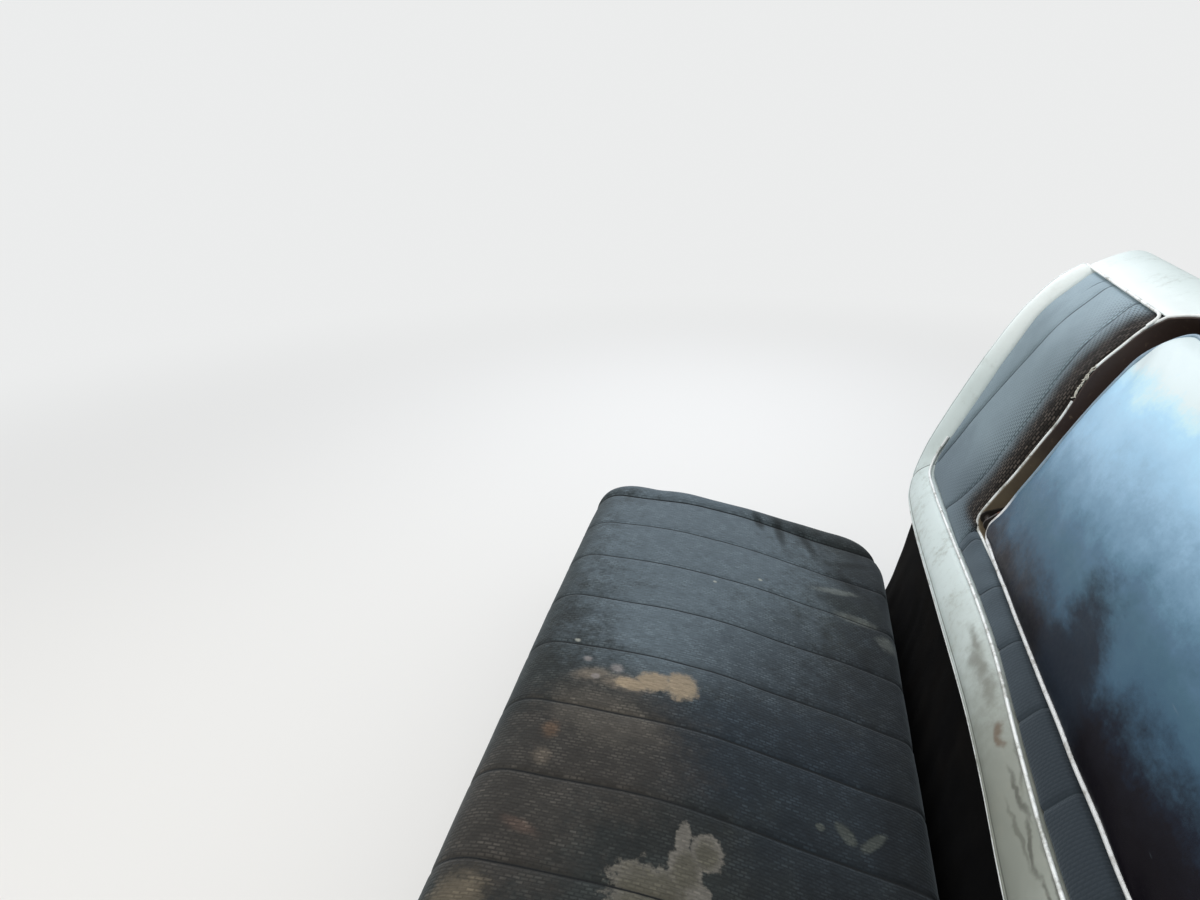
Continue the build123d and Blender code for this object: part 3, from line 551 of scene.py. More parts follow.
# %% Lining and board
def tan_lining():
    """Coated card, tan low down and brown above, scuffed."""
    material, tree, shader, place = finish("lining_card_tan")
    height = add(tree, "ShaderNodeSeparateXYZ", Vector=place).outputs[2]
    cloud = noise_at(tree, place, 45.0, 6.0, Roughness=0.65)
    level = maths(tree, "MULTIPLY_ADD", cloud, 0.14, height)
    rise = smooth_step(tree, level, 0.44, 0.60)
    colour = lay(tree, rise, tone("6f6450"), tone("3b2e29"))
    scuff = noise_at(tree, place, 9.0, 7.0, Roughness=0.75)
    pale = smooth_step(tree, scuff, 0.58, 0.70, To_Max=0.35)
    colour = lay(tree, pale, colour, tone("8b7a63"))
    bump = add(tree, BUMP, Strength=0.4, Distance=0.6 * MM, Height=scuff)
    plug(shader, "Base Color", colour)
    plug(shader, "Roughness", 0.62)
    plug(shader, "Normal", leather_grain(tree, place, 0.2, under=bump))
    return material


def fibre_board():
    """Pressed fibre board, brown, with short pale fibres in its face."""
    material, tree, shader, place = finish("fibre_board_pressed")
    stretched = add(tree, "ShaderNodeMapping", Vector=place, Rotation=(0.4, 0.9, 0.3), Scale=(1.0, 6.0, 6.0))
    fibres = noise_at(tree, stretched, 9.0, 6.0, Roughness=0.7)
    cloud = noise_at(tree, place, 80.0, 4.0)
    base = lay(tree, cloud, tone("6a4c33"), tone("54402e"))
    pale = smooth_step(tree, fibres, 0.52, 0.68, To_Max=0.5)
    colour = lay(tree, pale, base, tone("94795a"))
    bump = add(tree, BUMP, Strength=0.35, Distance=0.3 * MM, Height=fibres)
    plug(shader, "Base Color", colour)
    plug(shader, "Roughness", 0.8)
    plug(shader, "Normal", bump)
    return material


TAN_LINING, FIBRE_BOARD = tan_lining(), fibre_board()
print("materials", TAN_LINING.name, FIBRE_BOARD.name)

# %% Hessian and cotton
JUTE_PITCH = 3.2
COTTON_PITCH = 1.4


def plain_weave(name, pitch, low, high, dirt, rough, flat_from):
    """Threads over and under each other at a pitch in millimetres."""
    material, tree, shader, place = finish(name)
    flat = add(tree, "ShaderNodeTexCoord").outputs[flat_from]
    wobble = noise_at(tree, flat, 22.0, 2.0)
    wobble = vectors(tree, "SCALE", wobble.outputs["Color"], Scale=1.6 * pitch * MM)
    bent = vectors(tree, "ADD", flat, wobble)
    axes = add(tree, "ShaderNodeSeparateXYZ", Vector=bent)
    threads = []
    for axis in (0, 1):
        turn = maths(tree, "MULTIPLY", axes.outputs[axis], pi * per(pitch))
        wave = maths(tree, "SINE", turn)
        threads.append(maths(tree, "ABSOLUTE", wave))
    cross = maths(tree, "MULTIPLY", *threads)
    fuzz = noise_at(tree, flat, 1.2, 3.0)
    height = maths(tree, "MULTIPLY_ADD", fuzz, 0.4, cross)
    tint = smooth_step(tree, height, 0.25, 0.9)
    colour = lay(tree, tint, tone(low), tone(high))
    cloud = noise_at(tree, place, 110.0, 6.0)
    dirty = smooth_step(tree, cloud, 0.42, 0.66, To_Max=0.6)
    colour = lay(tree, dirty, colour, tone(dirt))
    bump = add(tree, BUMP, Strength=0.6, Distance=0.3 * pitch * MM, Height=height)
    plug(shader, "Base Color", colour)
    plug(shader, "Roughness", rough)
    plug(shader, "Specular IOR Level", 0.06)
    plug(shader, "Normal", bump)
    return material


HESSIAN = plain_weave("hessian_jute", JUTE_PITCH, "3a2a1a", "9a7d55", "4a3824", 0.92, "UV")
BLACK_COTTON = plain_weave("cotton_black", COTTON_PITCH, "020202", "0a0a0b", "110f0d", 0.95, "UV")
print("materials", HESSIAN.name, BLACK_COTTON.name)

# %% [markdown]
# ## Steel
# The frame is dipped in black stove enamel, which chips and rusts from the edges and in patches. The
# springs are oil-tempered wire gone brown. The hinge is zinc plated, and its dark grey brown is
# painted shade, for it sits in the dark gap at the armrest's foot. All three keep a metal's or an
# enamel's own shine where the rust hasn't reached, because the masks mix roughness and metallic too.

# %% Enamel, spring wire and plating
def rusted(name, clean, rust, metallic, rough, share, spread):
    """A steel finish that rust covers to a share, in patches of about spread millimetres."""
    material, tree, shader, place = finish(name)
    patches = noise_at(tree, place, spread, 9.0, Roughness=0.68)
    eaten = smooth_step(tree, patches, 0.62 - share, 0.70 - share)
    fine = noise_at(tree, place, 3.0, 5.0, Roughness=0.7)
    brown = lay(tree, fine, tone(rust[0]), tone(rust[1]))
    metal = lay(tree, fine, tone(clean[0]), tone(clean[1]))
    colour = lay(tree, eaten, metal, brown)
    shine = add(tree, RANGE, Value=eaten, To_Min=metallic, To_Max=0.0)
    dull = add(tree, RANGE, Value=eaten, To_Min=rough, To_Max=0.85)
    pits = maths(tree, "MULTIPLY", fine, eaten)
    bump = add(tree, BUMP, Strength=0.5, Distance=0.4 * MM, Height=pits)
    plug(shader, "Base Color", colour)
    plug(shader, "Metallic", shine)
    plug(shader, "Roughness", dull)
    plug(shader, "Normal", bump)
    return material


RUST = ("4a2413", "7d4a28")
ENAMEL = rusted("stove_enamel_black", ("0b0b0c", "151516"), RUST, 0.0, 0.32, 0.10, 42.0)
SPRING_WIRE = rusted("spring_wire_oiled", ("3b3733", "544e47"), RUST, 0.9, 0.42, 0.14, 30.0)
# The hinge's dark grey brown is painted shade.
PLATING = rusted("zinc_plate_painted_shade", ("2b2724", "3b3632"), RUST, 0.6, 0.55, 0.06, 16.0)
print("materials", ENAMEL.name, SPRING_WIRE.name, PLATING.name)

# %% [markdown]
# ## Mesh helpers
# Soft pieces are built as grids of points, because then every seam can lie on a line of the mesh. A
# closed pad is one grid for its face, rings of wall points round its edge, and a second grid behind.
# The face rolls over towards the edge by a part of a circle, whose size each side gives.

# %% Turning points into objects
def build(name, points, faces, material, flat=None, smooth=True):
    """A mesh object at the origin from points in metres, with an optional UV map in metres."""
    mesh = bpy.data.meshes.new(name)
    mesh.from_pydata([tuple(p) for p in points], [], faces)
    mesh.validate()
    if flat:
        layer = mesh.uv_layers.new(name="flat")
        for loop in mesh.loops:
            layer.data[loop.index].uv = flat[loop.vertex_index]
    mesh.polygons.foreach_set("use_smooth", [smooth] * len(mesh.polygons))
    mesh.materials.append(material)
    mesh.update()
    piece = bpy.data.objects.new(name, mesh)
    bpy.context.scene.collection.objects.link(piece)
    return piece


def quads(columns, rows, start=0, around=False, flip=False):
    """Faces of a grid whose points run column by column. Around joins the last column to the first."""
    faces = []
    for i in range(columns if around else columns - 1):
        for j in range(rows - 1):
            a = start + i * rows + j
            b = start + (i + 1) % columns * rows + j
            face = (a, b, b + 1, a + 1)
            faces.append(face[::-1] if flip else face)
    return faces


def settle(piece, levels=0):
    """Applies what modifiers the piece has, and some subdivision, and leaves a plain mesh."""
    if levels:
        rounder = piece.modifiers.new("rounder", "SUBSURF")
        rounder.levels = levels
        rounder.render_levels = levels
    graph = bpy.context.evaluated_depsgraph_get()
    plain = bpy.data.meshes.new_from_object(piece.evaluated_get(graph))
    plain.name = piece.name
    old = piece.data
    piece.modifiers.clear()
    piece.data = plain
    bpy.data.meshes.remove(old)
    return piece


def mark(piece, name, values):
    """Stores one number for each point of the piece."""
    attribute = piece.data.attributes.new(name, "FLOAT", "POINT")
    attribute.data.foreach_set("value", values)


print("mesh helpers ready")

# %% A closed pad
def pad(name, grid, level, rolls, place, walls, material):
    """Closed pad over a plan grid.

    grid[i][j] is a plan point in millimetres. level(x, y) is the face's height there. rolls are the
    radii of the four edges: first and last column, first and last row. walls are rows (inset, height),
    the last one for the underside. A radius or a height may be a function of the plan point.
    """
    columns, rows = len(grid), len(grid[0])
    xs = [p[0] for line in grid for p in line]
    ys = [p[1] for line in grid for p in line]
    middle = ((min(xs) + max(xs)) / 2, (min(ys) + max(ys)) / 2)
    half = ((max(xs) - min(xs)) / 2, (max(ys) - min(ys)) / 2)

    def drop(i, j):
        x, y = grid[i][j]
        ends = (grid[0][j], grid[-1][j], grid[i][0], grid[i][-1])
        radii = [r(*e) if callable(r) else r for e, r in zip(ends, rolls)]
        shares = [max(0.0, 1 - hypot(x - e[0], y - e[1]) / r) for e, r in zip(ends, radii)]
        total = min(1.0, sqrt(sum(s * s for s in shares)))
        weight = sum(s * s for s in shares)
        radius = sum(s * s * r for s, r in zip(shares, radii)) / weight if weight else 0.0
        return radius * (1 - sqrt(1 - total * total))

    def inset(p, by):
        return [m + (v - m) * (h - by) / h for v, m, h in zip(p, middle, half)]

    def height(rule, p):
        return rule(*p) if callable(rule) else rule

    points, flat = [], []
    for i, line in enumerate(grid):
        run, last = 0.0, None
        for j, (x, y) in enumerate(line):
            here = place(x, y, level(x, y) - drop(i, j))
            run += (here - last).length if last else 0.0
            last = here
            points.append(here)
            flat.append((x * MM, run))
    for step, span in ((1, range(columns // 2, columns - 1)), (-1, range(columns // 2, 0, -1))):
        extra = 0.0
        for i in span:
            here, after = points[i * rows + rows // 2], points[(i + step) * rows + rows // 2]
            sense = 1 if flat[(i + step) * rows][0] > flat[i * rows][0] - step * extra else -1
            if drop(i + step, rows // 2) > 0:
                extra += (after - here).length - abs(after.x - here.x)
            for j in range(rows):
                u, v = flat[(i + step) * rows + j]
                flat[(i + step) * rows + j] = (u + sense * extra, v)
    faces = quads(columns, rows)
    rim = [(i, 0) for i in range(columns)] + [(columns - 1, j) for j in range(1, rows)]
    rim += [(i, rows - 1) for i in range(columns - 2, -1, -1)] + [(0, j) for j in range(rows - 2, 0, -1)]
    ring = [i * rows + j for i, j in rim]
    fall = [0.0] * len(rim)
    for by, rule in walls:
        fresh = []
        for k, (i, j) in enumerate(rim):
            p = inset(grid[i][j], by)
            here = place(*p, height(rule, p))
            fall[k] += (here - points[ring[k]]).length
            fresh.append(len(points))
            points.append(here)
            u, v = flat[i * rows + j]
            if j in (0, rows - 1):
                v += fall[k] if j else -fall[k]
            else:
                u += copysign(fall[k], u - middle[0] * MM)
            flat.append((u, v))
        for k in range(len(rim)):
            after = (k + 1) % len(rim)
            faces.append((ring[k], fresh[k], fresh[after], ring[after]))
        ring = fresh
    by, rule = walls[-1]
    under = {spot: ring[k] for k, spot in enumerate(rim)}
    for i in range(columns):
        for j in range(rows):
            if (i, j) not in under:
                p = inset(grid[i][j], by)
                under[i, j] = len(points)
                points.append(place(*p, height(rule, p)))
                flat.append((p[0] * MM, p[1] * MM))
    for i in range(columns - 1):
        for j in range(rows - 1):
            faces.append((under[i, j], under[i, j + 1], under[i + 1, j + 1], under[i + 1, j]))
    piece = build(name, points, faces, material, flat)
    piece["face_points"] = columns * rows
    return piece


print("pad builder ready")

# %% [markdown]
# ## Inflating a cover
# A sewn cover is tight because the padding pushes from inside. Blender's Cloth does the same with a
# pressure: the seams and the edges are pinned, and what lies between them swells until the cloth's
# own stretch holds it. Gravity is off. How far a point may move is limited with a tanh curve, which
# slows it down smoothly and leaves no flat tops. Twenty frames are enough, and the result is kept as a mesh.

# %% The simulation
FRAMES = 20


def inflate(piece, held, pressure, reach):
    """Swells the free points of a closed cover. held holds the numbers of its pinned points."""
    before = [v.co.copy() for v in piece.data.vertices]
    group = piece.vertex_groups.new(name="held")
    group.add(held, 1.0, "REPLACE")
    cloth = piece.modifiers.new("cloth", "CLOTH")
    rules = cloth.settings
    rules.quality = 5
    rules.mass = 0.3
    rules.tension_stiffness = rules.compression_stiffness = 12.0
    rules.shear_stiffness = 4.0
    rules.bending_stiffness = 0.4
    rules.use_pressure = True
    rules.uniform_pressure_force = pressure
    rules.vertex_group_mass = "held"
    rules.effector_weights.gravity = 0.0
    cloth.collision_settings.use_collision = False
    cloth.collision_settings.use_self_collision = False
    cloth.point_cache.frame_start = 1
    cloth.point_cache.frame_end = FRAMES
    for step in range(1, FRAMES + 1):
        bpy.context.scene.frame_set(step)
    graph = bpy.context.evaluated_depsgraph_get()
    swollen = piece.evaluated_get(graph).to_mesh()
    after = [v.co.copy() for v in swollen.vertices]
    piece.evaluated_get(graph).to_mesh_clear()
    piece.modifiers.remove(cloth)
    piece.vertex_groups.clear()
    bpy.context.scene.frame_set(1)
    most = 0.0
    for vertex, old, new in zip(piece.data.vertices, before, after):
        way = new - old
        if way.length > 1e-7:
            most = max(most, way.length)
            way *= reach * MM * tanh(way.length / (reach * MM)) / way.length
        vertex.co = old + way
    piece.data.update()
    print(piece.name, "swelled by up to", round(most / MM, 1), "mm before its limit of", reach)


def sink(piece, distance, depth, width):
    """Draws the points near a seam inwards. distance(point number) is in millimetres."""
    piece.data.update()
    normals = [v.normal.copy() for v in piece.data.vertices]
    for number, vertex in enumerate(piece.data.vertices):
        away = distance(number) / width
        if away < 3:
            vertex.co -= normals[number] * depth * MM * exp(-away * away)
    piece.data.update()


def lumps(x, y, size, height, seed):
    """Smooth unevenness of old padding, in millimetres."""
    return height * noise.noise(Vector((x / size, y / size, seed)))


print("cloth helper ready")

# %% [markdown]
# ## The cushion cover
# The cover is one closed form with a fat front roll, pulled down by eleven sewn seams that run from
# front to rear. Its top is nearly level in front and falls to the rear behind a long crown, and the
# ends hang lower than the middle. The columns of the mesh crowd together at each seam, so that the
# seam can be a narrow valley.

# %% The plan of a rounded pad
class Plan:
    """Rounded rectangle, symmetric across, with one radius at its low and one at its high edge."""

    def __init__(self, half, low, high, low_radius, high_radius):
        self.half, self.low, self.high = half, low, high
        self.low_radius, self.high_radius = low_radius, high_radius

    def span(self, x):
        """Lowest and highest point of the outline at x."""
        ends = []
        for radius in (self.low_radius, self.high_radius):
            past = max(0.0, abs(x) - self.half + radius)
            ends.append(radius - sqrt(max(0.0, radius * radius - past * past)))
        return self.low + ends[0], self.high - ends[1]


def eased(radius, steps):
    """Distances from an edge that divide a roll of that radius into equal angles."""
    return [radius * (1 - cos(pi / 2 * k / steps)) for k in range(steps + 1)]


def plan_grid(plan, columns, low_steps, high_steps, parts):
    """Plan grid in columns of constant x, with its rows crowded at the low and high edge."""
    grid = []
    for x in columns:
        low, high = plan.span(x)
        first = [low + step for step in low_steps]
        last = [high - step for step in reversed(high_steps)]
        gap = last[0] - first[-1]
        middle = [first[-1] + gap * k / parts for k in range(1, parts)]
        grid.append([(x, y) for y in first + middle + last])
    return grid


def seam_columns(half, pitch, offsets, end_steps, first=0.0):
    """Columns from -half to half, with the same offsets after each seam and crowded ends."""
    inner = half - end_steps[-1]
    found = {half - step for step in end_steps}
    for number in range(int(half // pitch) + 1):
        found |= {first + number * pitch + step for step in offsets}
    right_side = sorted(x for x in found if 0 <= x <= inner - 1 or x > inner - 1e-6 and half - x in end_steps)
    right_side = [x for x in right_side if x <= half]
    return [-x for x in reversed(right_side) if x > 0] + right_side


print("plan helpers ready")

# %% Cushion cover
pad_low, pad_high = (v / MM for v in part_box("cushion_pad"))
SEAT_HALF, SEAT_OVERHANG = pad_high.x, 7.0
SEAT_FRONT, SEAT_REAR = pad_low.y, pad_high.y + SEAT_OVERHANG
SEAT_FRONT_TOP, SEAT_CROWN, SEAT_REAR_TOP = 254.0, 240.0, 153.0
CROWN_AT, CROWN_RADIUS = SEAT_FRONT + 237.0, 800.0
SEAT_FRONT_ROLL, SEAT_REAR_ROLL, SEAT_END_ROLL = 58.0, 18.0, 42.0
SEAT_FRONT_CORNER, SEAT_REAR_CORNER = 59.5, 108.0
END_DROP, END_BULGE = 22.0, 9.0
RAIL_FRONT, RAIL_REAR = 120.0, 72.0
FACING_TOP = 6.0
LIP = 16.0
RAIL_INSET = 16.0
rail_front_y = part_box("cushion_rail_front")[0].y / MM + RAIL_INSET
rail_rear_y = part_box("cushion_rail_rear")[1].y / MM - RAIL_INSET


def rail_top(y):
    """Height of the rails' upper edge at y."""
    return RAIL_FRONT + (RAIL_REAR - RAIL_FRONT) * (y - rail_front_y) / (rail_rear_y - rail_front_y)


def crown(y):
    """Side view of the cushion's top: two straight lines with a long arc between them."""
    first = atan2(SEAT_CROWN - SEAT_FRONT_TOP, CROWN_AT - SEAT_FRONT)
    second = atan2(SEAT_REAR_TOP - SEAT_CROWN, SEAT_REAR - CROWN_AT)
    reach = CROWN_RADIUS * tan((first - second) / 2)
    start = CROWN_AT - reach * cos(first)
    if y <= start:
        return SEAT_CROWN + (y - CROWN_AT) * tan(first)
    if y >= CROWN_AT + reach * cos(second):
        return SEAT_CROWN + (y - CROWN_AT) * tan(second)
    middle = start + CROWN_RADIUS * sin(first)
    base = SEAT_CROWN + (start - CROWN_AT) * tan(first) - CROWN_RADIUS * cos(first)
    return base + sqrt(CROWN_RADIUS**2 - (y - middle) ** 2)


def seat_level(x, y):
    """The cushion's top, lower at its ends, fat in the last channel and a little lumpy."""
    channel = max(0.0, (abs(x) - 5 * SEAM_PITCH) / (SEAT_HALF - 5 * SEAM_PITCH))
    fat = END_BULGE * sin(pi * min(1.0, channel) ** 0.8)
    uneven = lumps(x, y, 130.0, 3.0, 1.7) + lumps(x, y, 55.0, 1.2, 4.1)
    rear = (y - SEAT_FRONT) / (SEAT_REAR - SEAT_FRONT)
    return crown(y) - END_DROP * (1 - 0.6 * rear**6) * (abs(x) / SEAT_HALF) ** 4 + fat + uneven


def end_roll(x, y):
    """The end's roll, smaller to the rear, where the pad is lower."""
    return min(SEAT_END_ROLL, seat_level(x, y) - rail_top(y) - FACING_TOP - LIP - 10.0)


SEAT_OFFSETS = (0.0, 3.0, 9.0, 19.0, 33.0, 48.0, 62.5, 77.0, 92.0, 106.0, 116.0, 122.0)
seat_plan = Plan(SEAT_HALF, SEAT_FRONT, SEAT_REAR, SEAT_FRONT_CORNER, SEAT_REAR_CORNER)
seat_columns = seam_columns(SEAT_HALF, SEAM_PITCH, SEAT_OFFSETS, (0.0, 1.0, 3.5, 8.0, 15.0, 24.0, 35.0))
seat_grid = plan_grid(seat_plan, seat_columns, eased(SEAT_FRONT_ROLL, 8), eased(SEAT_REAR_ROLL, 4), 34)


def seat_place(x, y, z):
    return Vector((x, y, z)) * MM


def over_rail(rise):
    return lambda x, y: rail_top(y) + rise


SEAT_WALLS = [
    (0.0, over_rail(FACING_TOP + LIP + 5.0)),
    (0.5, over_rail(FACING_TOP + LIP)),
    (4.0, over_rail(FACING_TOP + 6.0)),
    (12.0, over_rail(FACING_TOP + 0.5)),
]
cushion = pad(
    "cushion_cover", seat_grid, seat_level,
    (end_roll, end_roll, SEAT_FRONT_ROLL, SEAT_REAR_ROLL),
    seat_place, SEAT_WALLS, SEAT_CLOTH,
)


def from_pitch(x, first=0.0):
    """Distance in millimetres from the nearest of the seams that repeat at the pitch."""
    return abs((x - first + SEAM_PITCH / 2) % SEAM_PITCH - SEAM_PITCH / 2)


def cushion_held():
    """Seams, the lower walls and the underside keep still."""
    face = cushion["face_points"]
    ring = 2 * (len(seat_grid) + len(seat_grid[0])) - 4
    count = len(cushion.data.vertices)
    free_wall = face + ring
    return [
        k for k in range(count)
        if k >= free_wall or from_pitch(cushion.data.vertices[k].co.x / MM) < 0.6
    ]


inflate(cushion, cushion_held(), 2.5, 4.5)
settle(cushion, 1)


def cushion_seam(number):
    vertex = cushion.data.vertices[number]
    return from_pitch(vertex.co.x / MM) if vertex.normal.z > -0.3 else 99.0


sink(cushion, cushion_seam, 2.0, 4.0)
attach(cushion, "seat")
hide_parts("cushion_pad")
print("cushion cover faces:", len(cushion.data.polygons))

# %% [markdown]
# ## Closed loops
# Borders, rolls and facings are long and have one section all the way, so they are lofted: a closed
# loop of points at each station, joined to the next. The ends are closed with a cap that first
# steps inwards, which keeps the corner crisp after subdivision.

# %% A loft through closed loops
def loft(name, loops, material, flat=None, around=False):
    """Skin through closed loops of equal length, capped at both ends unless it goes all round."""
    size = len(loops[0])
    points = [p for loop in loops for p in loop]
    spread = list(flat) if flat else None
    faces = []
    for i in range(len(loops) if around else len(loops) - 1):
        for j in range(size):
            a, b = i * size + j, i * size + (j + 1) % size
            shift = ((i + 1) % len(loops) - i) * size
            faces.append((a, a + shift, b + shift, b))
    if not around:
        for end, base in ((0, 0), (1, (len(loops) - 1) * size)):
            ring = list(range(base, base + size))
            centre = sum((points[k] for k in ring), Vector()) / size
            for share in (0.92, 0.5):
                fresh = []
                for k in range(size):
                    fresh.append(len(points))
                    points.append(centre.lerp(points[base + k], share))
                    if spread:
                        spread.append(spread[base + k])
                for k in range(size):
                    face = (ring[k], ring[(k + 1) % size], fresh[(k + 1) % size], fresh[k])
                    faces.append(face[::-1] if end else face)
                ring = fresh
            points.append(centre)
            if spread:
                spread.append(spread[base])
            for k in range(size):
                face = (ring[k], ring[(k + 1) % size], len(points) - 1)
                faces.append(face[::-1] if end else face)
    return build(name, points, faces, material, spread)


def outward(piece):
    """Turns the faces of a closed mesh to the outside."""
    mesh = bmesh.new()
    mesh.from_mesh(piece.data)
    bmesh.ops.recalc_face_normals(mesh, faces=mesh.faces)
    mesh.to_mesh(piece.data)
    mesh.free()
    return piece


print("loft helper ready")

# %% [markdown]
# ## The cushion's facing
# Below the roll the cover ends, and a band of black leathercloth is tacked round the steel rail. It
# hangs a little loose, so its face bulges by a few millimetres and wrinkles at the corners.

# %% Facing band
FACING_OUT, FACING_IN = 10.0, 1.0
FRAME_HALF = SEAT_HALF - 22.0
FRAME_FRONT_CORNER, FRAME_REAR_CORNER = 46.0, 116.0


def frame_outline(grow, step=11.0):
    """Points and outward directions round the seat's frame, grown by so many millimetres."""
    corners = [
        (FRAME_HALF - FRAME_FRONT_CORNER, rail_front_y + FRAME_FRONT_CORNER, FRAME_FRONT_CORNER, -90),
        (FRAME_HALF - FRAME_REAR_CORNER, rail_rear_y - FRAME_REAR_CORNER, FRAME_REAR_CORNER, 0),
        (-FRAME_HALF + FRAME_REAR_CORNER, rail_rear_y - FRAME_REAR_CORNER, FRAME_REAR_CORNER, 90),
        (-FRAME_HALF + FRAME_FRONT_CORNER, rail_front_y + FRAME_FRONT_CORNER, FRAME_FRONT_CORNER, 180),
    ]
    found = []
    for number, (cx, cy, radius, start) in enumerate(corners):
        turns = int(radius * pi / 2 / step) + 2
        for k in range(turns + 1):
            angle = radians(start + 90 * k / turns)
            found.append((cx + radius * cos(angle), cy + radius * sin(angle), cos(angle), sin(angle)))
        nx, ny, nr, after = corners[(number + 1) % 4]
        a, b = found[-1], (nx + nr * cos(radians(after)), ny + nr * sin(radians(after)))
        steps = int(hypot(b[0] - a[0], b[1] - a[1]) / step)
        for k in range(1, steps):
            t = k / steps
            found.append((a[0] + (b[0] - a[0]) * t, a[1] + (b[1] - a[1]) * t, a[2], a[3]))
    return [(x + nx * grow, y + ny * grow, nx, ny) for x, y, nx, ny in found]


def facing():
    loops, flat, run = [], [], 0.0
    outline = frame_outline(0.0)
    for number, (x, y, nx, ny) in enumerate(outline):
        top = rail_top(y) + FACING_TOP
        before = outline[number - 1]
        run += hypot(x - before[0], y - before[1])
        ripple = lumps(run, 0, 26.0, 1.2, 7.0) + lumps(run, 0, 90.0, 1.0, 3.0)
        rows = [(FACING_IN, 2.5), (FACING_OUT - 2, 2.5), (FACING_OUT - 0.5, 5.0)]
        for share in (0.2, 0.4, 0.6, 0.8):
            bulge = (1.2 + ripple) * sin(pi * share)
            rows.append((FACING_OUT - 0.5 + bulge, 5.0 + (top - 9.0) * share))
        rows += [(FACING_OUT - 0.5, top - 4.0), (FACING_OUT - 2.5, top - 0.3), (FACING_IN, top - 0.3)]
        loops.append([Vector((x + nx * g, y + ny * g, z)) * MM for g, z in rows])
        flat += [(run * MM, z * MM) for g, z in rows]
    return loft("facing_band", loops, FACING_VINYL, flat, around=True)


band = outward(settle(facing(), 1))
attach(band, "seat")
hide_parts(*[f"cushion_facing_{side}" for side in ("front", "rear", "left", "right")])
print("facing faces:", len(band.data.polygons))

# %% [markdown]
# ## The backrest's own frame of reference
# The backrest leans by 25 degrees, so its pieces are drawn flat, with s up the slope and w outwards,
# and one function sets them into the car. The frame's own boxes say where that flat drawing lies.
# Near the top the surface bends away to the rear along an arc.

# %% The leaning plane and its outlines
LEAN = radians(25.0)
BORDER_FOOT, BORDER_SIDE = 60.0, 32.0
PAD_DEPTH = 90.0
BACK_TOP = 468.0
TOP_BEND, TOP_SET_BACK, TOP_BEND_RADIUS = 90.0, 30.0, 160.0
foot_low, foot_high = (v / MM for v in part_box("back_border_foot"))
BACK_Y = foot_high.y - BORDER_FOOT * sin(LEAN) - PAD_DEPTH * cos(LEAN)
BACK_Z = foot_high.z - BORDER_FOOT * cos(LEAN)


def back(x, s, w):
    """Point in metres from a place on the leaning plane in millimetres."""
    return Vector((x, BACK_Y + s * sin(LEAN) - w * cos(LEAN), BACK_Z + s * cos(LEAN) + w * sin(LEAN))) * MM


def front_w(s):
    """How far the front surface lies out of the leaning plane: 0, and back along an arc at the top."""
    turn = atan2(TOP_SET_BACK, TOP_BEND)
    reach = TOP_BEND_RADIUS * tan(turn / 2)
    start = BACK_TOP - TOP_BEND - reach
    if s <= start:
        return 0.0
    if s < start + TOP_BEND_RADIUS * sin(turn):
        return sqrt(TOP_BEND_RADIUS**2 - (s - start) ** 2) - TOP_BEND_RADIUS
    return -(s - BACK_TOP + TOP_BEND) * tan(turn)


roll_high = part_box("back_top_roll")[1].x / MM
HALF_TOP = roll_high
HALF_WIDEST, WIDEST_AT = roll_high + 12.0, 300.0
HALF_FOOT = HALF_WIDEST - 26.0


def side_x(s):
    """Outer edge of the backrest at s: it widens to 300 mm up and then narrows, with a soft bend."""
    rise = (HALF_WIDEST - HALF_FOOT) / WIDEST_AT
    fall = (HALF_TOP - HALF_WIDEST) / (BACK_TOP - WIDEST_AT)
    soft = 60.0
    x = HALF_FOOT + rise * s
    if s > WIDEST_AT - soft:
        past = min(s, WIDEST_AT + soft) - WIDEST_AT + soft
        x += (fall - rise) * past * past / (4 * soft)
    if s > WIDEST_AT + soft:
        x += (fall - rise) * (s - WIDEST_AT - soft)
    return x


print("leaning plane starts at y", round(BACK_Y, 1), "z", round(BACK_Z, 1), "widest", HALF_WIDEST)

# %% [markdown]
# ## The sagging foot
# The padding of the foot border has slipped: its lower edge hangs in places, and the welt above it
# wanders by a centimetre. Both lines are short tables of places along the seat, joined smoothly, so
# that the cloth strip, the welt and the border share one line and can't drift apart.

# %% Lines of the foot
WELT_LINE = [
    (-700, 55), (-560, 52), (-330, 59), (-200, 63), (-80, 62), (60, 53), (200, 47), (420, 50), (700, 55),
]
FOOT_LINE = [
    (-700, -2), (-560, -12), (-300, -9), (-60, -5), (60, -9), (220, -19), (420, -14), (700, -3),
]


def along(table, x):
    """Smooth value at x from rows (x, value): a cubic through them, level past the ends."""
    if x <= table[0][0]:
        return table[0][1]
    for k in range(1, len(table)):
        (x0, v0), (x1, v1) = table[k - 1], table[k]
        if x <= x1:
            before, after = table[max(k - 2, 0)], table[min(k + 1, len(table) - 1)]
            m0 = (v1 - before[1]) / (x1 - before[0]) * (x1 - x0)
            m1 = (after[1] - v0) / (after[0] - x0) * (x1 - x0)
            t = (x - x0) / (x1 - x0)
            return v0 + t * m0 + t * t * (3 * (v1 - v0) - 2 * m0 - m1) + t**3 * (2 * (v0 - v1) + m0 + m1)
    return table[-1][1]


print("welt between", min(v for x, v in WELT_LINE), "and", max(v for x, v in WELT_LINE))

# %% [markdown]
# ## The white border
# One ribbon of white leathercloth goes down the far side, round the corner, along the foot and up the
# near side. It is thin wadding under a coated cloth: slightly crowned, stitched down near its outer
# edge, and butted with a straight seam at each lower corner. Its outer rim stands about 20 mm proud
# of the pads up the sides, like the rim of a dish. The stations of the loft follow two paths, the
# outer edge and the inner welt, so the corner fans out as the real one does.

# %% Border paths
CORNER_OUT, CORNER_IN = 56.0, 40.0
SIDE_STEPS, CORNER_STEPS, FOOT_STEPS = 34, 9, 52


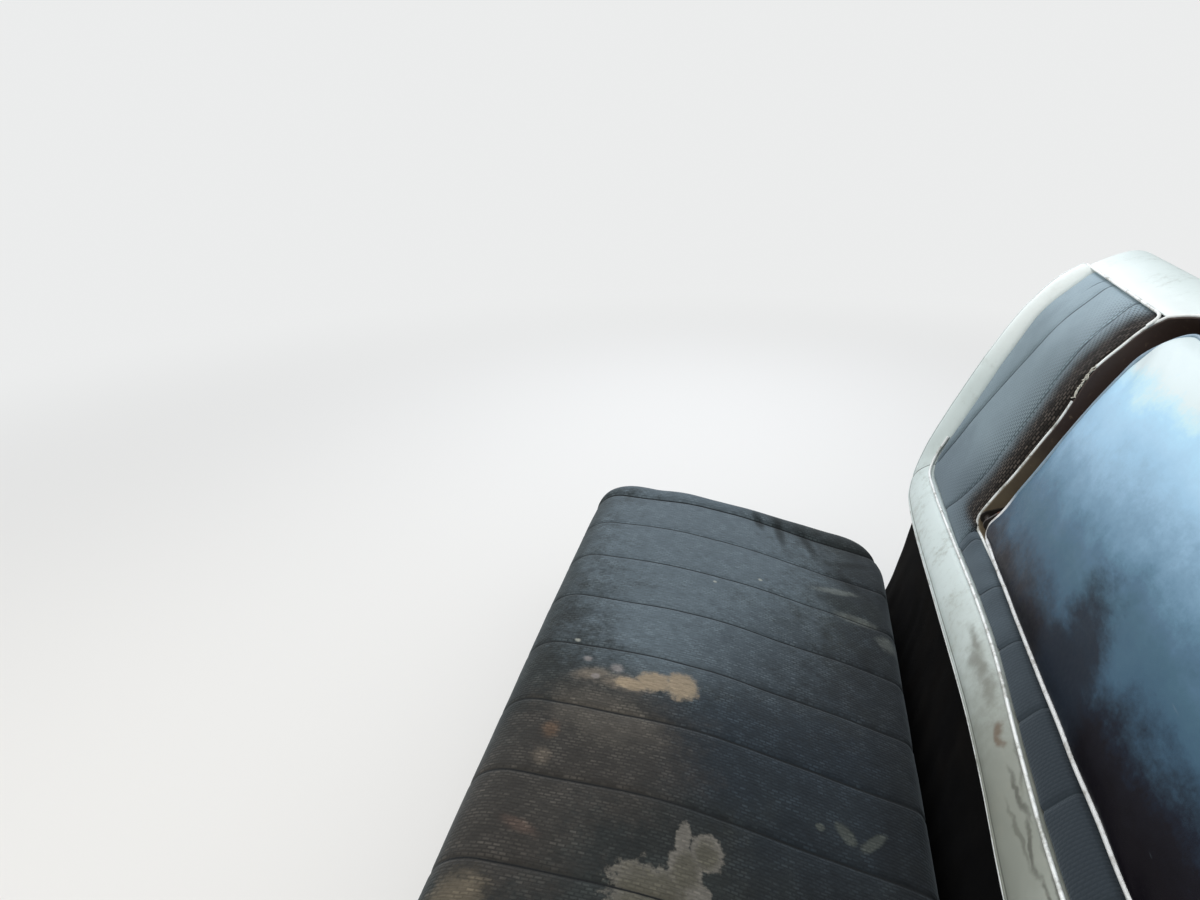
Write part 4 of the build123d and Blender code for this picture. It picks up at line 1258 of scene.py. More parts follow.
def border_stations():
    """Pairs of an outer and an inner point (x, s) down the left side to the middle of the foot."""
    pairs = []
    for k in range(SIDE_STEPS):
        t = k / SIDE_STEPS
        s_out = BACK_TOP + (CORNER_OUT - BACK_TOP) * t
        s_in = BACK_TOP + (BORDER_FOOT + CORNER_IN - BACK_TOP) * t
        pairs.append(((side_x(s_out), s_out), (side_x(s_in) - BORDER_SIDE, s_in)))
    cx_out = side_x(CORNER_OUT) - CORNER_OUT
    s_inner = BORDER_FOOT + CORNER_IN
    cx_in = side_x(s_inner) - BORDER_SIDE - CORNER_IN
    for k in range(CORNER_STEPS):
        angle = -pi / 2 * k / CORNER_STEPS
        pairs.append((
            (cx_out + CORNER_OUT * cos(angle), CORNER_OUT + CORNER_OUT * sin(angle)),
            (cx_in + CORNER_IN * cos(angle), s_inner + CORNER_IN * sin(angle)),
        ))
    for k in range(FOOT_STEPS + 1):
        t = 1 - k / FOOT_STEPS
        pairs.append(((cx_out * t, 0.0), (cx_in * t, BORDER_FOOT)))
    return pairs


def both_sides(pairs):
    """The whole path, from the top of the left side to the top of the right."""
    return pairs + [((-o[0], o[1]), (-i[0], i[1])) for o, i in reversed(pairs[:-1])]


def sag(x, s, outer):
    """Moves a border point down to the foot's sagging lines, less and less up the sides."""
    fade = max(0.0, 1 - max(0.0, s - (0 if outer else BORDER_FOOT)) / 90.0)
    line = along(FOOT_LINE, x) if outer else along(WELT_LINE, x) - BORDER_FOOT
    return s + line * fade


border_path = []
for outer_point, inner_point in both_sides(border_stations()):
    (xo, so), (xi, si) = outer_point, inner_point
    border_path.append(((xo, sag(xo, so, True)), (xi, sag(xi, si, False))))
print("border stations:", len(border_path))

# %% Border skin
RIM_RISE = [(-30, 7), (0, 8), (40, 13), (95, 20), (230, 21), (330, 17), (380, 14), (430, 17), (468, 9)]
BORDER_SECTION = [
    (0.00, -9.0), (0.02, -3.0), (0.08, 0.2), (0.20, 2.4), (0.36, 3.8), (0.52, 4.2), (0.66, 3.6),
    (0.78, 2.4), (0.86, 0.9), (0.895, -0.4), (0.93, 0.5), (0.97, -0.8), (1.00, -4.5), (1.005, -12.0),
    (1.00, -30.0), (0.99, -58.0), (0.98, -80.0), (0.94, -87.5), (0.80, -89.0), (0.40, -89.0),
    (0.03, -89.0), (0.00, -84.0), (0.00, -45.0),
]
STITCH_SHARE = 0.895


def border():
    loops, flat, run, last = [], [], 0.0, None
    for outer, inner in border_path:
        middle = Vector(((outer[0] + inner[0]) / 2, (outer[1] + inner[1]) / 2))
        run += (middle - last).length if last else 0.0
        last = middle
        wave = 1 + 0.35 * noise.noise(Vector((run / 60.0, 0.3, 0.0)))
        loop = []
        for share, rise in BORDER_SECTION:
            x = inner[0] + (outer[0] - inner[0]) * share
            s = inner[1] + (outer[1] - inner[1]) * share
            lift = rise * wave if rise > 0 else rise
            top = front_w(s) if rise > -20 else front_w(s) * (1 + rise / PAD_DEPTH)
            top += along(RIM_RISE, outer[1]) * share * max(0.0, min(1.0, 1.4 + rise / 50.0))
            loop.append(back(x, s, top + lift + lumps(x, s, 22.0, 0.5, 2.0) * (rise > -5)))
            flat.append((run * MM, share * BORDER_FOOT * MM))
        loops.append(loop)
    return loft("white_border", loops, WHITE_VINYL, flat)


white_border = outward(settle(border(), 1))
butts = [SIDE_STEPS + 4, len(border_path) - 1 - SIDE_STEPS - 4]
uv = white_border.data.uv_layers[0].data
runs = [0.0] * len(white_border.data.vertices)
shares = [0.0] * len(white_border.data.vertices)
for loop in white_border.data.loops:
    runs[loop.vertex_index] = uv[loop.index].uv.x
    shares[loop.vertex_index] = uv[loop.index].uv.y
total_run = max(runs)


def station_run(number):
    """Length along the border at a station, in metres."""
    length, last = 0.0, None
    for outer, inner in border_path[: number + 1]:
        middle = Vector(((outer[0] + inner[0]) / 2, (outer[1] + inner[1]) / 2))
        length += (middle - last).length if last else 0.0
        last = middle
    return length * MM


butt_runs = [station_run(k) for k in butts]
mark(white_border, "from_seam", [min(abs(r - b) for b in butt_runs) for r in runs])
mark(white_border, "from_stitch", [abs(v - STITCH_SHARE * BORDER_FOOT * MM) for v in shares])
sink(white_border, lambda k: min(abs(runs[k] - b) for b in butt_runs) / MM, 1.2, 2.5)
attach(white_border, "seat")
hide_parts("back_border_left", "back_border_foot", "back_border_right")
print("border is", round(total_run, 2), "m long")

# %% [markdown]
# ## The side pads
# Each side pad fills the space between the border and the recess. Two seams run up it, bending with
# the pad at the top, and a third short one starts where the pad grows wider. The columns of the grid
# follow these seams, so the cover swells between them. Beside the recess the pad rolls over, most of
# all half way up, where elbows have pressed it down.

# %% Side pads
OPENING_HALF, OPENING_FOOT, OPENING_TOP = 376.0, 97.0, 490.0
OPENING_ARCH = 64.0
LINING = 3.0
SEAM_ONE = [(50, 654), (150, 638), (250, 616), (345, 589), (420, 580), (475, 578)]
SEAM_TWO = [(50, 503), (100, 470), (160, 449), (250, 444), (340, 452), (420, 462), (475, 468)]
SHORT_SEAM_X, SHORT_SEAM_FROM = 628.0, 372.0


def recess_x(s, grow):
    """Half width of the recess at s, grown by so many millimetres."""
    arch = OPENING_TOP - OPENING_ARCH
    if s <= arch:
        return OPENING_HALF + grow
    radius = OPENING_ARCH + grow
    return OPENING_HALF - OPENING_ARCH + sqrt(max(0.0, radius * radius - (s - arch) ** 2))


def border_x(s, foot):
    """Inner edge of the border at s, with the corner rounded above the foot line."""
    radius = CORNER_IN
    if s >= foot + radius:
        return side_x(s) - BORDER_SIDE
    past = foot + radius - s
    return side_x(foot + radius) - BORDER_SIDE - radius + sqrt(max(0.0, radius * radius - past * past))


ROWS_UP = 34
CELLS = (
    (0.0, 0.012, 0.035, 0.07, 0.12, 0.2, 0.36, 0.56, 0.76, 0.92, 0.97),
    (0.0, 0.02, 0.06, 0.15, 0.27, 0.4, 0.53, 0.66, 0.78, 0.88, 0.95, 0.98),
    (0.0, 0.05, 0.15, 0.32, 0.5, 0.68, 0.85, 0.95, 1.0),
)
RECESS_DIP = [
    (97, -7), (104, -5.5), (113, -2.5), (139, -3.2), (161, -4.5), (185, -7), (255, -9), (290, -10),
    (330, -7), (365, -4), (400, -4.5), (445, -1.5),
]


def side_grid():
    """Columns from the recess to the border, with seam two and seam one on columns of their own."""
    edges = []
    for k in range(ROWS_UP + 1):
        t = k / ROWS_UP
        t = t - 0.055 * sin(2 * pi * t) if t < 1 else 1.0
        foot_mid = along(WELT_LINE, 500) + 1.0
        s = foot_mid + (BACK_TOP - 1.0 - foot_mid) * t
        inner = recess_x(s, LINING + 1.0) if s > OPENING_FOOT else OPENING_HALF - 6.0
        outer = border_x(s, BORDER_FOOT)
        one = min(along(SEAM_ONE, s), outer - 7.0)
        two = min(along(SEAM_TWO, s), one - 30.0)
        edges.append((s, inner, two, one, outer))
    grid = []
    for part, cells in enumerate(CELLS):
        for share in cells:
            grid.append([(e[1 + part] + (e[2 + part] - e[1 + part]) * share, e[0]) for e in edges])
    return grid


side_plan = side_grid()
SEAM_COLUMNS = (len(CELLS[0]), len(CELLS[0]) + len(CELLS[1]))


def pad_level(x, s):
    return front_w(s) - 1.0 + lumps(x, s, 60.0, 1.4, 5.0)


def recess_roll(x, s):
    """Radius of the pad's roll into the recess: large where the welt lies deep, small beside the strip."""
    if s < OPENING_FOOT:
        return 3.0
    return 4.0 - along(RECESS_DIP, s)


PAD_WALLS = [(0.0, -24.0), (0.0, -60.0), (2.0, -84.0), (8.0, -88.5)]


def below_front(rise):
    """Wall height that keeps behind the bending front."""
    return lambda x, s: min(rise, front_w(s) * 0.6 + rise)


side_walls = [(by, below_front(rise) if rise > -70 else rise) for by, rise in PAD_WALLS]


def side_pad(name, mirror):
    def place(x, s, w):
        return back(mirror * x, s, w)

    grid = side_plan if mirror > 0 else side_plan[::-1]
    rolls = (recess_roll, 4.0, 6.0, 6.0) if mirror > 0 else (4.0, recess_roll, 6.0, 6.0)
    piece = pad(name, grid, pad_level, rolls, place, side_walls, BACK_CLOTH)
    rows = len(grid[0])
    columns = len(grid)
    seams = SEAM_COLUMNS if mirror > 0 else tuple(columns - 1 - c for c in SEAM_COLUMNS)
    face = piece["face_points"]
    held = [k for k in range(len(piece.data.vertices)) if k >= face]
    held += [c * rows + j for c in seams for j in range(rows)]
    held += [i * rows + j for i in (0, columns - 1) for j in range(rows)]
    held += [i * rows + j for i in range(columns) for j in (0, rows - 1)]
    inflate(piece, sorted(set(held)), 5.0, 5.0)
    settle(piece, 1)
    seam_gaps, recess_gaps = [], []
    for vertex in piece.data.vertices:
        point = vertex.co / MM
        x = abs(point.x)
        dy, dz = point.y - BACK_Y, point.z - BACK_Z
        s = dy * sin(LEAN) + dz * cos(LEAN)
        w = dz * sin(LEAN) - dy * cos(LEAN)
        outer = border_x(s, BORDER_FOOT)
        one, two = along(SEAM_ONE, s), along(SEAM_TWO, s)
        gaps = [abs(x - line) for line in (one, two) if line < outer - 7.5] + [50.0]
        if s > SHORT_SEAM_FROM:
            gaps.append(abs(x - SHORT_SEAM_X + 0.12 * (s - SHORT_SEAM_FROM)))
        seam_gaps.append(min(gaps) if w > front_w(s) - 30 else 50.0)
        away = max(0.0, x - recess_x(max(s, OPENING_FOOT), LINING))
        recess_gaps.append(hypot(away, max(0.0, OPENING_FOOT + 14.0 - s) * 3.0))
    mark(piece, "from_seam", [g * MM for g in seam_gaps])
    mark(piece, "from_recess", [g * MM for g in recess_gaps])
    sink(piece, lambda k: seam_gaps[k], 2.0, 4.0)
    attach(piece, "seat")
    return piece


for side, mirror in (("left", 1), ("right", -1)):
    made = side_pad(f"back_cover_{side}", mirror)
    outward(made)
    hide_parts(f"back_pad_{side}")
    print(made.name, len(made.data.polygons), "faces")

# %% [markdown]
# ## The strip under the armrest
# A low strip of the same cloth closes the foot between the border and the recess. Its seams run
# across it, at the same spacing as the cushion's.

# %% Foot strip
STRIP_HALF = OPENING_HALF - 8.0
STRIP_TOP, STRIP_SET_BACK = OPENING_FOOT - LINING, 8.0
STRIP_OFFSETS = (0.0, 2.5, 8.0, 20.0, 40.0, 62.5, 85.0, 105.0, 117.0, 122.5)
STRIP_SHARES = (0, 0.06, 0.16, 0.32, 0.5, 0.68, 0.84, 0.94, 1)
STRIP_SEAM = 27.0


def strip_columns():
    """Columns crowded at each seam and at both ends."""
    seams = [STRIP_SEAM + k * SEAM_PITCH for k in range(-4, 4)]
    inner = {x + step for x in seams for step in STRIP_OFFSETS if abs(x + step) < STRIP_HALF - 9.0}
    ends = {side * (STRIP_HALF - step) for side in (-1, 1) for step in (0.0, 2.0, 6.0)}
    return sorted(inner | ends)


def strip_grid():
    grid = []
    for x in strip_columns():
        low = along(WELT_LINE, x) + 1.0
        grid.append([(x, low + (STRIP_TOP - low) * t) for t in STRIP_SHARES])
    return grid


def strip_level(x, s):
    """Level with the border at the foot, lower towards the armrest, and level with the pads at its ends."""
    low = along(WELT_LINE, x) + 1.0
    end = max(0.0, min(1.0, (abs(x) - 285.0) / 80.0))
    fall = STRIP_SET_BACK * min(1.0, (s - low) / (STRIP_TOP - low) * 1.3) * (1 - end * end * (3 - 2 * end))
    return -0.5 - fall + lumps(x, s, 40.0, 1.0, 9.0)


strip_plan = strip_grid()
strip = pad(
    "foot_strip_cover", strip_plan, strip_level,
    (1.0, 1.0, 3.0, 12.0), back, [(0.0, -30.0), (0.0, -70.0), (1.0, -88.0)], STRIP_CLOTH,
)
strip_rows = len(strip_plan[0])
strip_held = list(range(strip["face_points"], len(strip.data.vertices)))
for i, line in enumerate(strip_plan):
    for j in range(strip_rows):
        on_seam = from_pitch(line[0][0], STRIP_SEAM) < 0.6
        if j in (0, strip_rows - 1) or i in (0, len(strip_plan) - 1) or on_seam:
            strip_held.append(i * strip_rows + j)
inflate(strip, sorted(set(strip_held)), 5.0, 3.0)
settle(strip, 1)
strip_gaps = [from_pitch(v.co.x / MM, STRIP_SEAM) for v in strip.data.vertices]
mark(strip, "from_seam", [g * MM for g in strip_gaps])
mark(strip, "from_recess", [0.2] * len(strip_gaps))
sink(strip, lambda k: strip_gaps[k], 1.8, 4.0)
outward(strip)
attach(strip, "seat")
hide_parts("back_pad_foot")
print("foot strip faces:", len(strip.data.polygons))

# %% [markdown]
# ## The top roll
# The white roll caps the backrest. Its front face runs on from the cloth at a steeper slant, and the
# crest carries the arm's recess as an arch cut from below. It is lofted across the car, station by
# station, with the arch's line as the lower edge of each section.

# %% Top roll
ROLL_RISE, ROLL_DEPTH, ROLL_CREST_DEPTH, ROLL_CREST_DROP, ROLL_REAR_DEPTH = 60.0, 58.0, 24.0, 8.0, 30.0
ROLL_STEPS = 74


def roll_foot(x):
    """Lower edge of the roll's front at x: the top seam, or the recess's arch where that is higher."""
    ax = abs(x)
    half, arch = OPENING_HALF + LINING, OPENING_ARCH + LINING
    if ax >= half:
        return BACK_TOP
    past = max(0.0, ax - half + arch)
    return max(BACK_TOP, OPENING_TOP + LINING - arch + sqrt(max(0.0, arch * arch - past * past)))


def roll_section(x):
    """Closed section rows (s, w) of the roll at x."""
    foot, top = roll_foot(x), BACK_TOP + ROLL_RISE
    slope = ROLL_DEPTH / ROLL_RISE
    start_w = -TOP_SET_BACK - (foot - BACK_TOP) * slope
    crest_w = -TOP_SET_BACK - ROLL_DEPTH
    soft = 1 + 0.25 * noise.noise(Vector((x / 90.0, 0.0, 1.0)))
    rows = [(foot, start_w - 7.0), (foot + 0.6, start_w - 1.5), (foot + 3.0, start_w - 1.2)]
    for share, bulge in ((0.2, 2.4), (0.45, 4.2), (0.7, 4.6), (0.88, 3.2)):
        s = foot + (top - 3 - foot) * share
        w = start_w + (crest_w + 3 - start_w) * share
        rows.append((s + bulge * soft * 0.7, w + bulge * soft * 0.7))
    rows += [(top - 1.0, crest_w - 4.0), (top - 2.5, crest_w - 13.0), (top - ROLL_CREST_DROP, crest_w - 21.0)]
    rows += [(top - ROLL_CREST_DROP - 8.0, crest_w - ROLL_CREST_DEPTH - 1.5)]
    rear_w = -TOP_SET_BACK - ROLL_DEPTH - ROLL_REAR_DEPTH
    rows += [(BACK_TOP + 34.0, rear_w + 3.0), (BACK_TOP + 16.0, rear_w + 1.0), (BACK_TOP + 1.0, rear_w + 0.5)]
    rows += [(BACK_TOP + 1.0, rear_w + 22.0), (max(foot, BACK_TOP + 1.0), start_w - 26.0)]
    return rows


def roll_stations():
    """Places across the car, crowded at the ends and at the arch's corners."""
    found = [HALF_TOP - step for step in (0.0, 1.0, 4.0, 9.0, 16.0)]
    found += [HALF_TOP - 16.0 - (HALF_TOP - 16.0) * k / ROLL_STEPS for k in range(1, ROLL_STEPS + 1)]
    found = sorted(found)
    return [-x for x in reversed(found) if x > 0.01] + [x for x in found if x >= 0]


def top_roll():
    loops, flat = [], []
    for x in roll_stations():
        end = max(0.0, (abs(x) - HALF_TOP + 16.0) / 16.0)
        shrink = 1 - 0.10 * (1 - sqrt(1 - min(1.0, end) ** 2))
        rows = roll_section(x)
        ms = sum(r[0] for r in rows) / len(rows)
        mw = sum(r[1] for r in rows) / len(rows)
        run, last = 0.0, None
        loop = []
        for s, w in rows:
            here = back(x, ms + (s - ms) * shrink, mw + (w - mw) * shrink + lumps(x, s, 35.0, 0.8, 6.0))
            run += (here - last).length if last else 0.0
            last = here
            loop.append(here)
            flat.append((x * MM, run))
        loops.append(loop)
    return loft("top_roll_cover", loops, WHITE_VINYL, flat)


roll_cover = outward(settle(top_roll(), 1))
for name in ("from_seam", "from_stitch"):
    mark(roll_cover, name, [0.1] * len(roll_cover.data.vertices))
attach(roll_cover, "seat")
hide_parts("back_top_roll")
print("top roll faces:", len(roll_cover.data.polygons))

# %% [markdown]
# ## The armrest
# The armrest is a thick pad of black leathercloth with a white welt round its face. Its face crowns in
# both directions and its boxed sides stand back a little. It rides on its own body, so when it folds
# down its other face comes up, and that one is sewn as carefully.

# %% Armrest cover
arm_low, arm_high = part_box("armrest_pad")
ARM_HALF = arm_high.x / MM
ARM_FOOT, ARM_TOP = 104.0, 470.0
ARM_FOOT_CORNER, ARM_TOP_CORNER = 24.0, 66.0
ARM_BACK = -79.0
ARM_FALL = [
    (104, 6), (120, 13), (136, 19.5), (153, 22.5), (181, 25.5), (203, 28), (230, 29.5), (310, 32),
    (400, 31), (470, 27),
]


def arm_level(x, s):
    """Crowned face: it stands proud in the middle, and falls back to the sides and to the top."""
    t = (s - ARM_FOOT) / (ARM_TOP - ARM_FOOT)
    middle = 4.0 + 56.0 * t - 66.0 * t * t
    uneven = lumps(x, s, 110.0, 2.4, 8.0) + lumps(x, s, 45.0, 0.8, 2.5)
    return middle - along(ARM_FALL, s) * (abs(x) / ARM_HALF) ** 2.6 + uneven


arm_plan = Plan(ARM_HALF - 1.0, ARM_FOOT + 0.5, ARM_TOP - 0.5, ARM_FOOT_CORNER, ARM_TOP_CORNER)
arm_ends = (0.0, 1.5, 4.5, 9.0, 15.0, 23.0, 33.0, 45.0, 57.0)
arm_columns = [ARM_HALF - 1.0 - step for step in arm_ends]
arm_columns += [(ARM_HALF - 58.0) * k / 24 for k in range(24)]
arm_columns = sorted(arm_columns)
arm_columns = [-x for x in reversed(arm_columns) if x > 0] + arm_columns
arm_grid = plan_grid(arm_plan, arm_columns, eased(12.0, 5), eased(26.0, 6), 26)


def behind(rise):
    """Wall height: so far behind the face's edge, and never past the back."""
    return lambda x, s: max(ARM_BACK + 6.0, arm_level(x, s) - rise)


def arm_under(x, s):
    return ARM_BACK - 0.5 + 2.5 * (abs(x) / ARM_HALF) ** 4


arm_cover = pad(
    "armrest_cover", arm_grid, arm_level, (5.0, 5.0, 12.0, 26.0), back,
    [(0.8, behind(36.0)), (0.2, behind(58.0)), (2.0, -69.0), (7.0, -76.0), (14.0, arm_under)], BLACK_VINYL,
)
arm_ring = 2 * (len(arm_grid) + len(arm_grid[0])) - 4
arm_face = arm_cover["face_points"]
arm_rows = len(arm_grid[0])
arm_held = list(range(arm_face, arm_face + 5 * arm_ring))
for i in range(len(arm_grid)):
    for j in range(arm_rows):
        if i in (0, len(arm_grid) - 1) or j in (0, arm_rows - 1):
            arm_held.append(i * arm_rows + j)
inflate(arm_cover, sorted(set(arm_held)), 1.2, 3.0)
settle(arm_cover, 1)
outward(arm_cover)
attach(arm_cover, "armrest")
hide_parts("armrest_pad")
print("armrest faces:", len(arm_cover.data.polygons))

# %% [markdown]
# ## Welts
# A welt is a cord in a folded strip of leathercloth, sewn between two panels. A smooth curve with a
# round bevel makes one, turned into a mesh when it is done. Each welt takes its line from the same
# functions as the panels that it joins.

# %% A welt along a line
WELT_SIDES = 4


def cords(name, lines, radius, material, body, closed=False):
    """Round cords along lines of smooth points, as one mesh."""
    curve = bpy.data.curves.new(name, "CURVE")
    curve.dimensions = "3D"
    curve.bevel_depth = radius * MM
    curve.bevel_resolution = WELT_SIDES - 1
    curve.resolution_u = 2
    curve.use_fill_caps = True
    for points in lines:
        spline = curve.splines.new("NURBS")
        spline.points.add(len(points) - 1)
        for spot, point in zip(spline.points, points):
            spot.co = (*point, 1.0)
        spline.order_u = 3
        spline.use_endpoint_u = not closed
        spline.use_cyclic_u = closed
    holder = bpy.data.objects.new(name, curve)
    bpy.context.scene.collection.objects.link(holder)
    graph = bpy.context.evaluated_depsgraph_get()
    mesh = bpy.data.meshes.new_from_object(holder.evaluated_get(graph))
    bpy.data.objects.remove(holder)
    mesh.name = name
    mesh.materials.clear()
    mesh.materials.append(material)
    mesh.polygons.foreach_set("use_smooth", [True] * len(mesh.polygons))
    piece = bpy.data.objects.new(name, mesh)
    bpy.context.scene.collection.objects.link(piece)
    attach(piece, body)
    return piece


def rope(name, points, radius, material, body, closed=False):
    """One round cord."""
    return cords(name, [points], radius, material, body, closed)


def welt_vinyl(name, clean, soiled, above):
    """Leathercloth piping, white with grey handling marks, and a painted blue reflection from a height
    upwards.
    """
    material, tree, shader, place = finish(name)
    cloud = noise_at(tree, place, 24.0, 6.0, Roughness=0.7)
    marks = smooth_step(tree, cloud, 0.48, 0.68)
    colour = lay(tree, marks, tone(clean), tone(soiled))
    height = add(tree, "ShaderNodeSeparateXYZ", Vector=place).outputs[2]
    # Painted blue reflection above the given height, as on the armrest's face.
    with_painted_light = smooth_step(tree, height, above, above + 0.03, To_Max=0.85)
    colour = lay(tree, with_painted_light, colour, tone("5d7d92"))
    puckers = noise_at(tree, place, 4.0, 1.0)
    pucker = add(tree, BUMP, Strength=0.5, Distance=0.6 * MM, Height=puckers)
    plug(shader, "Base Color", colour)
    plug(shader, "Roughness", 0.45)
    plug(shader, "Normal", leather_grain(tree, place, 0.2, under=pucker))
    return material


WELT_VINYL = welt_vinyl("piping_white", "e6eae8", "9a9c94", 5.0)
ARM_PIPING = welt_vinyl("piping_white_painted_reflection", "dfe2e2", "a3a29c", 0.40)
inner_line = [back(i[0], i[1], front_w(i[1]) + 2.4) for o, i in border_path]
rope("border_welt", inner_line[32:-32], 2.2, WELT_VINYL, "seat")
outer_line = [back(o[0], o[1], front_w(o[1]) + along(RIM_RISE, o[1]) - 4.5) for o, i in border_path]
rope("border_piping", outer_line, 2.1, WELT_VINYL, "seat")
print("border welts made")

# %% Recess, armrest and roll welts
def rounded_loop(half, low, high, low_radius, high_radius, step=11.0):
    """Points (x, s) round a rectangle with rounded corners, from the low left corner upwards."""
    corners = [
        (half - low_radius, low + low_radius, low_radius, -90),
        (half - high_radius, high - high_radius, high_radius, 0),
        (-half + high_radius, high - high_radius, high_radius, 90),
        (-half + low_radius, low + low_radius, low_radius, 180),
    ]
    points = []
    for cx, cs, radius, start in corners:
        turns = max(3, int(radius * pi / 2 / step) + 2)
        for k in range(turns + 1):
            angle = radians(start + 90 * k / turns)
            points.append((cx + radius * cos(angle), cs + radius * sin(angle)))
    full = []
    for a, b in zip(points, points[1:] + points[:1]):
        steps = max(1, round(hypot(b[0] - a[0], b[1] - a[1]) / step))
        full += [(a[0] + (b[0] - a[0]) * k / steps, a[1] + (b[1] - a[1]) * k / steps) for k in range(steps)]
    return full


FOOT_DIP = [(220, -20), (290, -17), (332, -14.7), (365, -13.0), (376, -10)]


def recess_w(x, s):
    """Depth of the recess's edge: it dips with the pad, drops at the foot and lies on the roll above."""
    if s > BACK_TOP:
        return -TOP_SET_BACK - (s - BACK_TOP) * ROLL_DEPTH / ROLL_RISE + 0.8
    low = max(0.0, min(1.0, (104.0 - s) / 9.0))
    low = low * low * (3 - 2 * low)
    return front_w(s) + along(RECESS_DIP, s) * (1 - low) + along(FOOT_DIP, abs(x)) * low


FRAY_FROM, FRAY_TO = 328.0, 368.0
WELT_OUT, RECESS_CORNER, RECESS_STEP = 3.5, 11.0, 9.0
recess_points = rounded_loop(
    OPENING_HALF + WELT_OUT, STRIP_TOP + 0.5, OPENING_TOP + WELT_OUT,
    RECESS_CORNER, OPENING_ARCH + WELT_OUT, RECESS_STEP,
)
torn = [k for k, (x, s) in enumerate(recess_points) if x < 0 and FRAY_FROM < s < FRAY_TO]
kept = recess_points[torn[-1] + 1 :] + recess_points[: torn[0]]
recess_line = [back(x, s, recess_w(x, s)) for x, s in kept]
rope("recess_welt", recess_line, 2.0, WELT_VINYL, "seat")


def loose_thread(k):
    """One short crooked thread in the gap where the welt is torn."""
    start = FRAY_FROM - 6.0 + 3.4 * k
    line = []
    for step in range(6):
        s = start + 2.6 * step
        crook = noise.noise(Vector((s / 5.0, k * 1.7, 1.0)))
        rise = noise.noise(Vector((s / 4.0, k * 1.7, 5.0)))
        line.append(back(-OPENING_HALF - 4.0 + 6.0 * crook, s, recess_w(-OPENING_HALF, s) + 1.6 + 4.5 * rise))
    return line


PIPING_CORD = welt_vinyl("piping_cord_frayed", "c4c1b4", "77746a", 5.0)
cords("frayed_piping", [loose_thread(k) for k in range(13)], 0.8, PIPING_CORD, "seat")


RECESS_DEPTH, OPENING_RISE = -85.0, OPENING_TOP - OPENING_FOOT


def lining():
    """The card round the recess, from just under its welt to the board behind."""
    outer = rounded_loop(
        OPENING_HALF + LINING, STRIP_TOP, OPENING_TOP + LINING,
        RECESS_CORNER, OPENING_ARCH + LINING, RECESS_STEP,
    )
    loops, flat, run = [], [], 0.0
    for number, (x, s) in enumerate(outer):
        inner_x = x * OPENING_HALF / (OPENING_HALF + LINING)
        inner_s = OPENING_FOOT + (s - STRIP_TOP) * OPENING_RISE / (OPENING_RISE + 2 * LINING)
        front = recess_w(x, s) - 0.5
        rows = [(x, s, front), (inner_x, inner_s, front), (inner_x, inner_s, front - 1.0)]
        rows += [(inner_x, inner_s, front + (RECESS_DEPTH - front) * t) for t in (0.25, 0.5, 0.75, 1.0)]
        rows += [(x, s, RECESS_DEPTH)]
        loops.append([back(*row) for row in rows])
        run += hypot(x - outer[number - 1][0], s - outer[number - 1][1])
        flat += [(run * MM, w * MM) for _, _, w in rows]
    return loft("lining_card", loops, TAN_LINING, flat, around=True)


card = outward(lining())
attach(card, "seat")
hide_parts("recess_lining")


def arm_edge(x, s):
    """Depth of the armrest's edge line at its rim."""
    high = max(0.0, min(1.0, (s - ARM_TOP + 70.0) / 70.0))
    low = max(0.0, min(1.0, (ARM_FOOT + 20.0 - s) / 20.0))
    return arm_level(x, s) - 3.0 - 6.5 * low * low * (3 - 2 * low) - 17.0 * high * high * (3 - 2 * high)


ARM_WELT_STEP = 13.0
arm_points = rounded_loop(
    ARM_HALF - 1.0, ARM_FOOT + 0.5, ARM_TOP - 0.5, ARM_FOOT_CORNER, ARM_TOP_CORNER, ARM_WELT_STEP,
)
arm_welt = [back(x, s, arm_edge(x, s)) for x, s in arm_points]
rope("armrest_welt", arm_welt, 3.3, ARM_PIPING, "armrest", closed=True)


def roll_line():
    """From the outer corner along the top seam, and down into the recess's welt."""
    xs = [HALF_TOP - 2.0 - 11.0 * k for k in range(31)]
    line = [(x, BACK_TOP + 0.5) for x in xs if x > OPENING_HALF + 2.0]
    return line + [(OPENING_HALF - 2.0, BACK_TOP - 2.0), (OPENING_HALF - 4.0, BACK_TOP - 10.0),
                   (OPENING_HALF - 3.0, BACK_TOP - 20.0)]


for side, mirror in (("left", 1), ("right", -1)):
    line = [back(mirror * x, s, front_w(s) + 1.4) for x, s in roll_line()]
    rope(f"roll_welt_{side}", line, 2.3, WELT_VINYL, "seat")
print("welts made")

# %% [markdown]
# ## Zigzag springs
# A sinuous spring is one wire bent into a row of half loops. Its line has a formula: the side to side
# swing is a cosine, and the way forward gains a sine of twice the angle, which straightens the bars
# and rounds the loops. Geometry Nodes lay it out once, give it the wire's thickness and set a copy at
# each point of a small carrier mesh.

# %% The spring tree
WIRE = 4.0
SPRING_WIDTH, BAR_PITCH = 62.0, 48.0


